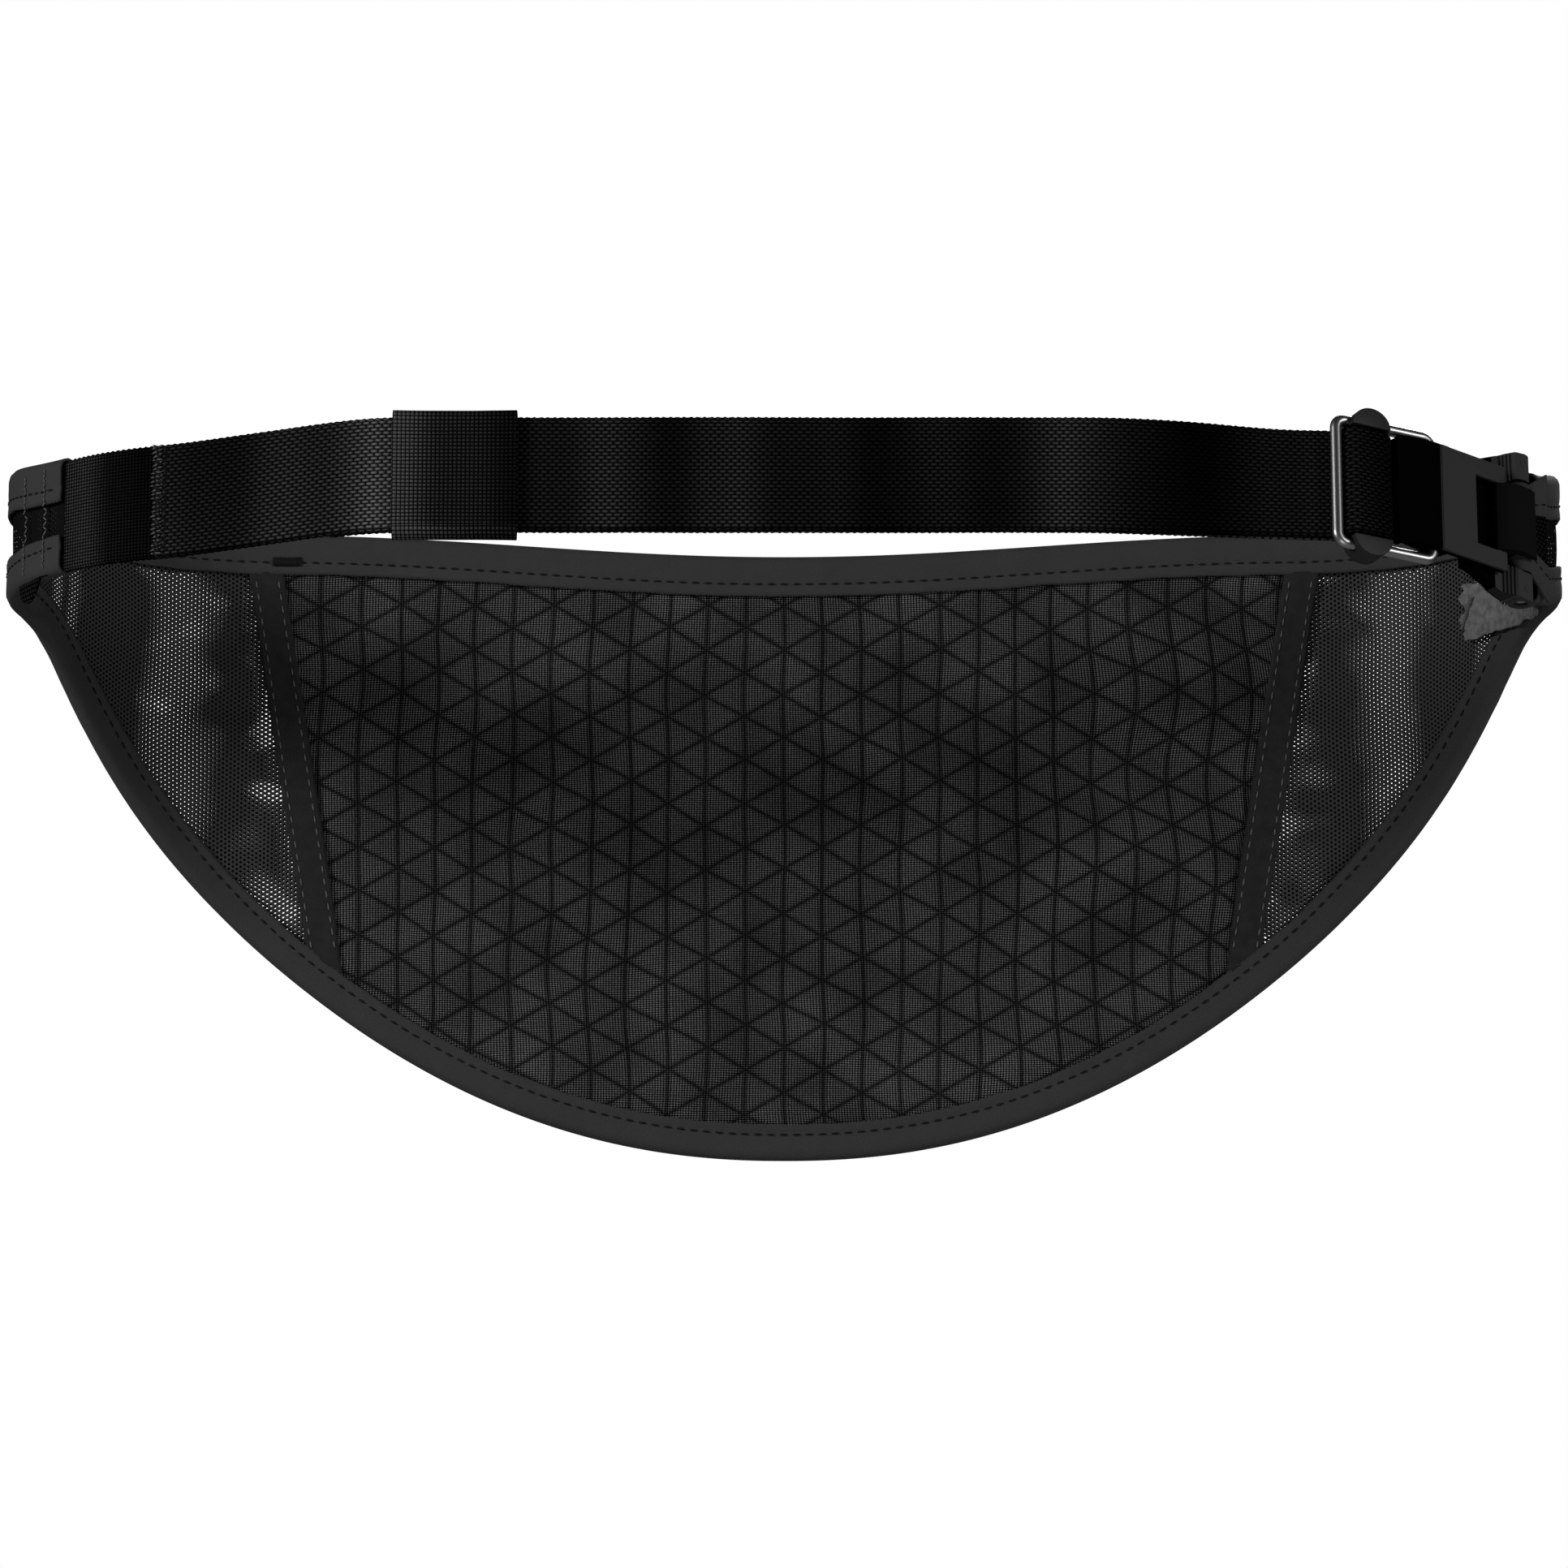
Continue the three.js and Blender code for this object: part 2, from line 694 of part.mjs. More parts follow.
// Hook: an eye round the ring's leg with a lip inside the ring, a flat plate with a
// window, and a proud rounded tongue over the pin whose catch turns in behind the yoke's bar.
function hookPlate() {
  const eye = ringWire + gap + legEase;
  const round = eye + hookWall;
  const plateBack = plateFront + plateThick;
  const rollTop = plateFront - hookRoll;
  const catchNear = yokeBarAt + yokeBarWidth / 2 + catchSlack;
  const catchFar = catchNear + catchWidth;
  const catchTip = yokeBarFront + catchDepth;
  const section = new THREE.Shape();
  section.moveTo(-hookLip, -hookLipThick / 2);
  section.quadraticCurveTo(-hookLip / 2, plateFront, 0, plateFront);
  section.lineTo(windowFar, plateFront);
  section.quadraticCurveTo(plateEnd, rollTop, catchFar, rollTop);
  section.quadraticCurveTo(tongueEnd, rollTop, tongueEnd, tongueBack);
  section.lineTo(catchFar, tongueBack);
  section.lineTo(catchFar, catchTip - hookChamfer);
  section.lineTo(catchFar - hookChamfer, catchTip);
  section.lineTo(catchNear + hookChamfer / 2, catchTip);
  section.lineTo(catchNear, catchTip - hookChamfer / 2);
  section.lineTo(catchNear, plateBack);
  section.lineTo(round + gap, plateBack);
  section.absarc(0, 0, round, 0, Math.PI * 0.85, false);
  section.lineTo(-hookLip, hookLipThick / 2);
  const leg = new THREE.Path();
  leg.absarc(0, 0, eye, 0, 2 * Math.PI, true);
  section.holes.push(leg);
  const block = new THREE.ExtrudeGeometry(section, {
    depth: hookHeight, steps: 1, bevelEnabled: false, curveSegments: 14,
  });
  let body = toSolid(block.translate(0, 0, -hookHeight / 2));
  body = body.subtract(toSolid(box(windowNear, windowFar, 2 * plateFront, 0, -windowHalf, windowHalf)));
  for (const side of [-1, 1]) {
    const low = Math.min(side * tongueHalf, side * hookHeight);
    const high = Math.max(side * tongueHalf, side * hookHeight);
    body = body.subtract(toSolid(box(plateEnd, 2 * tongueEnd, 3 * plateFront, -2 * plateFront, low, high)));
    body = body.subtract(toSolid(box(windowFar, 2 * tongueEnd, 3 * plateFront, plateFront, low, high)));
  }
  return fromSolid(body);
}

add('hook_plate', hookPlate(), plasticFinish(), buckle);

// Yoke: a bar behind the hook, and two arms that flare out and forward to the pin's bosses.
function yokeFrame() {
  const left = yokeBarAt - yokeBarWidth / 2;
  const right = yokeBarAt + yokeBarWidth / 2;
  const inside = tongueHalf + 2 * gap;
  const wide = yokeBossHalf;
  const clear = yokeBossHalf - yokeArm;
  const outline = new THREE.Shape();
  outline.moveTo(left, -yokeBarHalf);
  outline.bezierCurveTo(left + 4, -yokeBarHalf, pinAt - 6, -wide, pinAt, -wide);
  outline.lineTo(pinAt, -clear);
  outline.bezierCurveTo(pinAt - 5, -clear, right + 3, -inside, right, -inside);
  outline.lineTo(right, inside);
  outline.bezierCurveTo(right + 3, inside, pinAt - 5, clear, pinAt, clear);
  outline.lineTo(pinAt, wide);
  outline.bezierCurveTo(pinAt - 6, wide, left + 4, yokeBarHalf, left, yokeBarHalf);
  const plateOf = (front, back) => {
    const plate = new THREE.ExtrudeGeometry(outline, {
      depth: back - front, steps: 1, bevelEnabled: false, curveSegments: 8,
    });
    return toSolid(shaped(plate, (p) => new THREE.Vector3(p.x, back - p.z, p.y)));
  };
  const ramp = new THREE.Shape();
  ramp.moveTo(yokeRiseFrom, yokeBarFront + 1);
  ramp.lineTo(yokeRiseFrom, yokeBarFront);
  ramp.lineTo(yokeRiseTo, -yokeBossRadius);
  ramp.lineTo(pinAt, -yokeBossRadius);
  ramp.lineTo(pinAt, yokeBarFront + 1);
  const rise = toSolid(upright(ramp, 4 * wide)).intersect(plateOf(-yokeBossRadius, yokeBarFront + 1));
  let frame = plateOf(yokeBarFront, yokeBarFront + yokeDepth).add(rise);
  for (const side of [-1, 1]) {
    const boss = cylinder(yokeBossRadius, yokeArm, 20).rotateX(Math.PI / 2);
    boss.translate(pinAt, 0, side * (wide - yokeArm / 2));
    frame = frame.add(toSolid(boss));
  }
  const bore = cylinder(pinRadius + gap, 3 * wide, 20).rotateX(Math.PI / 2).translate(pinAt, 0, 0);
  return fromSolid(frame.subtract(toSolid(bore)));
}

add('yoke', yokeFrame(), plasticFinish(), buckle);
const pin = cylinder(pinRadius, 2 * yokeBossHalf - gap, 16).rotateX(Math.PI / 2).translate(pinAt, 0, 0);
add('yoke_pin', pin, wireFinish(), buckle);

// The right tab's end, folded round the pin.
function pinLoop() {
  const inner = pinRadius + gap;
  const outer = inner + loopThick;
  const outline = new THREE.Shape();
  outline.absarc(0, 0, outer, 0, 2 * Math.PI, false);
  const bore = new THREE.Path();
  bore.absarc(0, 0, inner, 0, 2 * Math.PI, true);
  outline.holes.push(bore);
  return new THREE.ExtrudeGeometry(outline, {
    depth: loopHeight, steps: 1, bevelEnabled: false, curveSegments: 10,
  }).translate(pinAt, 0, -loopHeight / 2);
}

add('pin_loop', pinLoop(), bindingFinish(), buckle);

// The folded raw end of the tab, sewn on the wearer's side.
function tabFold() {
  const outer = -bindingOuter - 2 * gap;
  return sheet(4, 1, (across, out, up) => {
    const run = foldStart + (foldEnd - foldStart) * across;
    const tall = rightTabTop - rightTabBottom - 2 * foldInset;
    const height = rightTabBottom + foldInset + tall * up;
    return wrap(run, outer - 2 * tapeThick * (1 - out), height);
  });
}

add('tab_fold', tabFold(), bindingFinish());

export default belt;
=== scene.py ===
import bisect
import math

import bmesh
import bpy
from mathutils import Matrix, Vector, noise


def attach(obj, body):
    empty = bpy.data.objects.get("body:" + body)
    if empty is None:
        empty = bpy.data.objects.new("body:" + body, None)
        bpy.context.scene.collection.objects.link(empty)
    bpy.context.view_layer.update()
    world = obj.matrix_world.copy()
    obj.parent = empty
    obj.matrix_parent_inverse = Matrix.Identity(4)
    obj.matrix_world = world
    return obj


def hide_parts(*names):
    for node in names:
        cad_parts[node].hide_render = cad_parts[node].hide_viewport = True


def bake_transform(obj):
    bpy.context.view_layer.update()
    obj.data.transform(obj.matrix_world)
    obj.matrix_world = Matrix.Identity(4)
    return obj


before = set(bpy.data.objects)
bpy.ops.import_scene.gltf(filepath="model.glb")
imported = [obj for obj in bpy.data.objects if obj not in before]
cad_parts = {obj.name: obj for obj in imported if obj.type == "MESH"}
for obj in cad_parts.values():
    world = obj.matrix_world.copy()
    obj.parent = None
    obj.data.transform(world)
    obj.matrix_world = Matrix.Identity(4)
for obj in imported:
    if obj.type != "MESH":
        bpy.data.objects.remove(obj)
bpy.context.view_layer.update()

MM = 0.001


# ---- Camera, light and floor -------------------------------------------------------------
# The belt hangs at waist height, closed as it is worn, and is seen from the strap side and
# a little from below. The floor and the room are plain and pale, and the light is soft.
CAMERA_AWAY = 1.212
CAMERA_TILT = math.radians(10)
LENS = 128.0
SENSOR = 36.0
FLOOR = -0.9
ROOM_GLOW = 0.05

camera = bpy.data.cameras.new("camera")
camera.lens = LENS
camera.sensor_width = SENSOR
camera.clip_end = 50
camera_object = bpy.data.objects.new("camera", camera)
camera_object.location = (0, -CAMERA_AWAY * math.cos(CAMERA_TILT), -CAMERA_AWAY * math.sin(CAMERA_TILT))
camera_object.rotation_euler = (math.radians(90) + CAMERA_TILT, 0, 0)
bpy.context.scene.collection.objects.link(camera_object)
bpy.context.scene.camera = camera_object


def finished(name, bm, material, smooth=True):
    """Turns a bmesh into an object at the origin, with its material and smooth faces."""
    mesh = bpy.data.meshes.new(name)
    bm.to_mesh(mesh)
    bm.free()
    mesh.materials.append(material)
    if smooth:
        mesh.polygons.foreach_set("use_smooth", [True] * len(mesh.polygons))
    piece = bpy.data.objects.new(name, mesh)
    bpy.context.scene.collection.objects.link(piece)
    return piece


def finish_of(name, color, roughness, metallic=0.0, specular=0.5):
    """A new material with its plain values set on the shader itself."""
    material = bpy.data.materials.new(name)
    material.use_nodes = True
    shader = material.node_tree.nodes["Principled BSDF"]
    shader.inputs["Base Color"].default_value = (*color, 1)
    shader.inputs["Roughness"].default_value = roughness
    shader.inputs["Metallic"].default_value = metallic
    shader.inputs["Specular IOR Level"].default_value = specular
    return material


floor_bm = bmesh.new()
bmesh.ops.create_grid(floor_bm, x_segments=1, y_segments=1, size=8)
bmesh.ops.translate(floor_bm, verts=floor_bm.verts, vec=(0, 0, FLOOR))
pale = finish_of("pale_floor", (0.4, 0.4, 0.4), 0.8)
finished("floor", floor_bm, pale)
world = bpy.data.worlds.new("room")
world.use_nodes = True
backdrop = world.node_tree.nodes["Background"]
backdrop.inputs["Color"].default_value = (1, 1, 1, 1)
floor_shader = pale.node_tree.nodes["Principled BSDF"]
floor_shader.inputs["Emission Color"].default_value = (1, 1, 1, 1)
for tree, glow, least, most in (
    (world.node_tree, backdrop.inputs["Strength"], ROOM_GLOW, 1.0),
    (pale.node_tree, floor_shader.inputs["Emission Strength"], 0.0, 0.8),
):
    seen = tree.nodes.new("ShaderNodeLightPath")
    strength = tree.nodes.new("ShaderNodeMapRange")
    strength.inputs["To Min"].default_value = least
    strength.inputs["To Max"].default_value = most
    tree.links.new(seen.outputs["Is Camera Ray"], strength.inputs["Value"])
    tree.links.new(strength.outputs["Result"], glow)
bpy.context.scene.world = world
bpy.context.scene.view_settings.view_transform = "Standard"


def soft_light(name, place, size, power):
    light = bpy.data.lights.new(name, "AREA")
    light.shape = "DISK"
    light.size = size
    light.energy = power
    lamp = bpy.data.objects.new(name, light)
    lamp.location = place
    lamp.rotation_euler = (-Vector(place)).to_track_quat("-Z", "Y").to_euler()
    bpy.context.scene.collection.objects.link(lamp)


soft_light("key", (-1.25, -0.75, 0.45), 0.45, 19)
soft_light("fill", (1.3, -0.8, 0.35), 0.45, 11)
soft_light("low", (0.15, -1.1, -0.75), 0.4, 4)
soft_light("back_light", (0.5, 1.4, 0.9), 0.7, 18)


# ---- The loop ----------------------------------------------------------------------------
# Every cloth piece is cut flat and then closed round the wearer: two straight runs joined
# by two half circles. Run is the length along the loop from the middle of the pouch, offset
# is outward from the middle of the cloth, and all three are in millimetres.
RUN_HALF = 112.5
END_RADIUS = 55.0
END_ARC = math.pi * END_RADIUS
FRONT_CENTRE = 2 * RUN_HALF + END_ARC
TAB_START = 200.0
TAB_END = {-1: 241.0, 1: 229.0}
TAB_TOP = {-1: 63.4, 1: 62.4}
TAB_BOTTOM = {-1: 38.8, 1: 34.4}
POUCH_TOP = 67.3
TOP_DIP = 5.1
TOP_DIP_HALF = 118.0
POUCH_BOTTOM = -76.1
BOTTOM_RISE = 39.2
BOTTOM_RISE_AT = 109.0
TAB_SHELF = 39.0
SHELF_BLEND = 6.0
SEAM_AT = 112.9
SEAM_SLOPE = 1 / 6


def wrap(run, offset, height):
    """A point of the flat pattern, on the closed loop, in metres."""
    side = 1 if run >= 0 else -1
    along = abs(run)
    radius = END_RADIUS + offset
    if along <= RUN_HALF:
        point = (run, radius, height)
    elif along <= RUN_HALF + END_ARC:
        turn = (along - RUN_HALF) / END_RADIUS
        point = (side * (RUN_HALF + radius * math.sin(turn)), radius * math.cos(turn), height)
    else:
        point = (side * (FRONT_CENTRE - along), -radius, height)
    return Vector(point) * MM


def smooth(low, high, value):
    part = min(1.0, max(0.0, (value - low) / (high - low)))
    return part * part * (3 - 2 * part)


def top_edge(run):
    side = 1 if run >= 0 else -1
    along = abs(run)
    dip = TOP_DIP * 0.5 * (1 + math.cos(math.pi * along / TOP_DIP_HALF)) if along < TOP_DIP_HALF else 0
    return POUCH_TOP - dip + (TAB_TOP[side] - POUCH_TOP) * smooth(TAB_START, TAB_END[side], along)


def bottom_edge(run):
    side = 1 if run >= 0 else -1
    along = abs(run)
    curve = POUCH_BOTTOM + BOTTOM_RISE * (along / BOTTOM_RISE_AT) ** 2.2
    shelf = -SHELF_BLEND * math.log(math.exp(-curve / SHELF_BLEND) + math.exp(-TAB_SHELF / SHELF_BLEND))
    return shelf + (TAB_BOTTOM[side] - TAB_SHELF) * smooth(TAB_START, TAB_END[side], along)


def seam_run(height):
    return SEAM_AT + SEAM_SLOPE * height


def ridge(value, middle, width):
    return math.exp(-((value - middle) / width) ** 2)


def pattern_map(bm, spots):
    """A UV map that holds each vertex's run and height on the flat pattern, in centimetres."""
    layer = bm.loops.layers.uv.new("pattern")
    for face in bm.faces:
        for loop in face.loops:
            run, height = spots[loop.vert.index]
            loop[layer].uv = (run / 10, height / 10)


def surface(name, across, up, place, material, thickness=0.0, outward=False, at=wrap, closed=False):
    """A skin of cloth, wire or plastic. place turns a spot of the unit square into run, offset and
    height, with the two coordinates of its weave if they differ, and at turns those into a point.
    A closed skin meets itself, and its open ends are filled."""
    bm = bmesh.new()
    bmesh.ops.create_grid(bm, x_segments=across, y_segments=up, size=0.5)
    bm.verts.index_update()
    spots = {}
    for vert in bm.verts:
        run, offset, height, *woven = place(vert.co.x + 0.5, vert.co.y + 0.5)
        spots[vert.index] = woven or (run, height)
        vert.co = at(run, offset, height)
    pattern_map(bm, spots)
    if closed:
        bmesh.ops.remove_doubles(bm, verts=bm.verts, dist=1e-6)
        bmesh.ops.holes_fill(bm, edges=[edge for edge in bm.edges if edge.is_boundary])
        bmesh.ops.recalc_face_normals(bm, faces=bm.faces)
    elif outward:
        bmesh.ops.reverse_faces(bm, faces=bm.faces)
    piece = finished(name, bm, material)
    if thickness:
        wall = piece.modifiers.new("wall", "SOLIDIFY")
        wall.thickness = thickness * MM
        wall.offset = 0
    return piece


def set_on(piece, body, slot, *nodes):
    """Fixes a finished piece to its body, in place of the CAD nodes. slot is not used."""
    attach(piece, body)
    if nodes:
        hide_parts(*nodes)
    return piece


def nodes_of(material):
    return material.node_tree.nodes, material.node_tree.links


def sum_of(material, kind, first, second):
    """A maths node: each of first and second is a number or another node's output."""
    nodes, links = nodes_of(material)
    maths = nodes.new("ShaderNodeMath")
    maths.operation = kind
    for slot, value in enumerate((first, second)):
        if isinstance(value, (int, float)):
            maths.inputs[slot].default_value = value
        else:
            links.new(value, maths.inputs[slot])
    return maths.outputs[0]


def times(material, first, second):
    return sum_of(material, "MULTIPLY", first, second)


def plus(material, first, second):
    return sum_of(material, "ADD", first, second)


def fade(material, value, start, end, least=0.0, most=1.0):
    """A value that goes from least to most between two spots, and stays there outside them."""
    nodes, links = nodes_of(material)
    slope = nodes.new("ShaderNodeMapRange")
    slope.inputs["From Min"].default_value = start
    slope.inputs["From Max"].default_value = end
    slope.inputs["To Min"].default_value = least
    slope.inputs["To Max"].default_value = most
    links.new(value, slope.inputs["Value"])
    return slope.outputs["Result"]


def pattern_axes(material):
    """Run and height on the flat pattern, in centimetres."""
    nodes, links = nodes_of(material)
    uv = nodes.new("ShaderNodeUVMap")
    uv.uv_map = "pattern"
    split = nodes.new("ShaderNodeSeparateXYZ")
    links.new(uv.outputs["UV"], split.inputs[0])
    return uv.outputs["UV"], split.outputs["X"], split.outputs["Y"]


def waves(material, value, pitch):
    """Ribs from 0 to 1 across a value, one for each pitch, in the value's own unit."""
    turned = times(material, value, 2 * math.pi / pitch)
    return sum_of(material, "MULTIPLY_ADD", sum_of(material, "SINE", turned, 0), 0.5)


def bump(material, height, distance, strength=1.0):
    """Raises the surface by a pattern from 0 to 1, distance in millimetres."""
    nodes, links = nodes_of(material)
    shader = nodes["Principled BSDF"]
    raised = nodes.new("ShaderNodeBump")
    raised.inputs["Distance"].default_value = distance * MM
    raised.inputs["Strength"].default_value = strength
    links.new(height, raised.inputs["Height"])
    if shader.inputs["Normal"].is_linked:
        links.new(shader.inputs["Normal"].links[0].from_socket, raised.inputs["Normal"])
    links.new(raised.outputs["Normal"], shader.inputs["Normal"])


def tint(material, factor, dark, light):
    """Colours a surface between two tones by a pattern from 0 to 1."""
    nodes, links = nodes_of(material)
    ramp = nodes.new("ShaderNodeValToRGB")
    ramp.color_ramp.elements[0].color = (*dark, 1)
    ramp.color_ramp.elements[1].color = (*light, 1)
    links.new(factor, ramp.inputs[0])
    links.new(ramp.outputs[0], nodes["Principled BSDF"].inputs["Base Color"])


def speckle(material, size, vector=None, detail=2.0):
    """Noise whose grains are about size millimetres across, on the object itself or on a map in cm."""
    nodes, links = nodes_of(material)
    grain = nodes.new("ShaderNodeTexNoise")
    grain.inputs["Detail"].default_value = detail
    if vector is None:
        vector = nodes.new("ShaderNodeTexCoord").outputs["Object"]
        grain.inputs["Scale"].default_value = 1000 / size
    else:
        grain.inputs["Scale"].default_value = 10 / size
    links.new(vector, grain.inputs["Vector"])
    return grain.outputs["Fac"]


def folded(material, value, pitch):
    """The distance from a value to the nearest multiple of pitch, in the value's own unit."""
    return sum_of(material, "PINGPONG", value, pitch / 2)


# ---- Back panel --------------------------------------------------------------------------
# The panel against the wearer: black double knit, embossed in a lattice of triangles, with
# fine upright ribs. It is sewn under the seam tapes and the edge bindings, and hangs slack.
KNIT = (0.0015, 0.0015, 0.0015)
KNIT_LIT_AND_MOTTLED = (0.2, 0.2, 0.2)
LATTICE = 8.8
LATTICE_DEPTH = 0.42
LATTICE_LINE = 0.55
SEAM_LAP = 5.0
EDGE_INSET = 2.0
PANEL_MIDDLE = -0.9


def knit_finish(name):
    material = finish_of(name, KNIT, 0.8, specular=0.0)
    uv, run, height = pattern_axes(material)
    lean = times(material, run, math.tan(math.radians(30)))
    step = LATTICE / 10 / math.cos(math.radians(30))
    rising = folded(material, sum_of(material, "SUBTRACT", height, lean), step)
    falling = folded(material, plus(material, height, lean), step)
    slanted = sum_of(material, "MINIMUM", rising, falling)
    slanted = times(material, slanted, math.cos(math.radians(30)))
    wandering = times(material, speckle(material, 0.9, uv, 1), 0.03)
    nearest = sum_of(material, "MINIMUM", slanted, folded(material, run, LATTICE / 10))
    away = sum_of(material, "DIVIDE", plus(material, nearest, wandering), 0.105)
    between = sum_of(material, "SMOOTH_MIN", away, 1)
    ribs = waves(material, run, 0.062)
    rows = waves(material, height, 0.05)
    loops = times(material, ribs, rows)
    bump(material, loops, 0.16)
    patches = speckle(material, 22, uv, 4)
    fibre = speckle(material, 0.35, uv, 3)
    # Painted light and shade: the knit is lighter on the loop tops and the raised cells, and darker between
    # the loops and in the lattice's grooves, as painted shade; the large and fine patches are random tone.
    lit = times(material, times(material, loops, between), times(material, fibre, patches))
    tint(material, times(material, lit, 3.2), KNIT, KNIT_LIT_AND_MOTTLED)
    bump(material, fibre, 0.08, 0.6)
    return material


def lattice_line(run, height):
    """1 on the embossed lines of the triangle lattice, 0 between them."""
    step = LATTICE / math.cos(math.radians(30))
    lean = run * math.tan(math.radians(30))
    nearest = abs((run + LATTICE / 2) % LATTICE - LATTICE / 2)
    for slanted in (height - lean, height + lean):
        away = abs((slanted + step / 2) % step - step / 2) * math.cos(math.radians(30))
        nearest = min(nearest, away)
    return ridge(nearest, 0, LATTICE_LINE)


def slack(run, height):
    """How far the pouch's centre cloth stands off its flat place: long soft folds."""
    across = max(0.0, 1 - (run / seam_run(height)) ** 2)
    up = smooth(bottom_edge(run) + 8, bottom_edge(run) + 26, height)
    down = smooth(0, 16, top_edge(run) - 9 - height)
    held = smooth(0.14, 0.5, across) * up * down
    first = height - 38 - 0.95 * (run + 22)
    folds = 2.1 * ridge(first, 0, 6) * smooth(-92, -60, run) * (1 - smooth(-38, -18, run))
    second = height - 12 + 0.75 * (run - 18)
    folds += 1.7 * ridge(second, 0, 5) * smooth(-4, 10, run) * (1 - smooth(40, 56, run))
    third = height - 26 - 0.2 * (run - 88)
    folds += 1.0 * ridge(third, 0, 4) * smooth(68, 78, run) * (1 - smooth(94, 104, run))
    fourth = height + 22 - 0.8 * (run + 4)
    folds -= 1.1 * ridge(fourth, 0, 9) * smooth(-40, -22, run) * (1 - smooth(12, 34, run))
    soft = 1.5 * noise.noise(Vector((run / 31, height / 24, 0.4)))
    soft += 0.7 * noise.noise(Vector((run / 12 + height / 30, height / 15 - run / 26, 2.7)))
    return held * (folds + soft)


def panel_spot(half, height_at):
    guess = height_at(half * RUN_HALF)
    run = half * (seam_run(guess) - SEAM_LAP)
    return run, height_at(run)


def back_place(across, up):
    run, height = panel_spot(
        2 * across - 1,
        lambda at: bottom_edge(at) + EDGE_INSET + (top_edge(at) - bottom_edge(at) - 2 * EDGE_INSET) * up,
    )
    warp = 1.3 * noise.noise(Vector((run / 26, height / 22, 5.1)))
    warp += 1.1 * smooth(55, 95, run) * math.sin(height / 6.5)
    along, above = run + warp, height + 0.6 * warp
    offset = PANEL_MIDDLE + slack(run, height) + LATTICE_DEPTH * lattice_line(along, above)
    return run, offset, height, along, above


back_panel = surface("back_panel_knit", 268, 178, back_place, knit_finish("panel_knit"), 0.8)
set_on(back_panel, "pouch", "knit", "back_panel")


# ---- Wings -------------------------------------------------------------------------------
# Each wing is two layers of open net, knitted in small hexagons, that run from the seam to
# the tab. The net is cut to the outline, caught in the bindings, and puckers at the seam.
NET = (0.034, 0.034, 0.034)
NET_FAR_SHADED = (0.005, 0.005, 0.005)
NET_PITCH = 1.05
NET_STRANDS = (0.4, 0.37, 0.33, 0.27, 0.2)
NET_OFFSET = 0.8


def net_finish(name, color):
    material = finish_of(name, color, 0.6, specular=0.0)
    bump(material, speckle(material, 0.12), 0.04)
    return material


def wing_slack(run, height, layer):
    """Puckers run out from the seam and die away along the wing; the layers differ."""
    along = abs(run) - seam_run(height)
    side = 1 if run >= 0 else -1
    held = smooth(0, 5, along) * (1 - smooth(75, 112, along))
    held *= smooth(4, 13, height - bottom_edge(run)) * smooth(5, 14, top_edge(run) - height)
    wander = 2.2 * noise.noise(Vector((run / 17, height / 17, layer)))
    pucker = math.sin(height / (2.1 if side > 0 else 3.4) + wander + along / 9) * (1 - smooth(4, 26, along))
    broad = noise.noise(Vector((run / 19, height / 23, 3.3)))
    return held * (0.6 * pucker + 1.3 * broad + 0.4 * layer)


def stretch(run, height):
    """From 0 where the net is slack and close to 1 where it is pulled open, beside the seam."""
    along = abs(run) - seam_run(height)
    wander = noise.noise(Vector((run / 9, height / 9, 6.6)))
    near = 1 - smooth(1, 16, along + 6 * wander + (0 if run < 0 else 4))
    spots = smooth(-0.1, 0.35, noise.noise(Vector((run / 11, height / 8, 9.2))))
    return min(0.99, max(0.0, near * spots + 0.4 * smooth(0.35, 0.6, wander)))


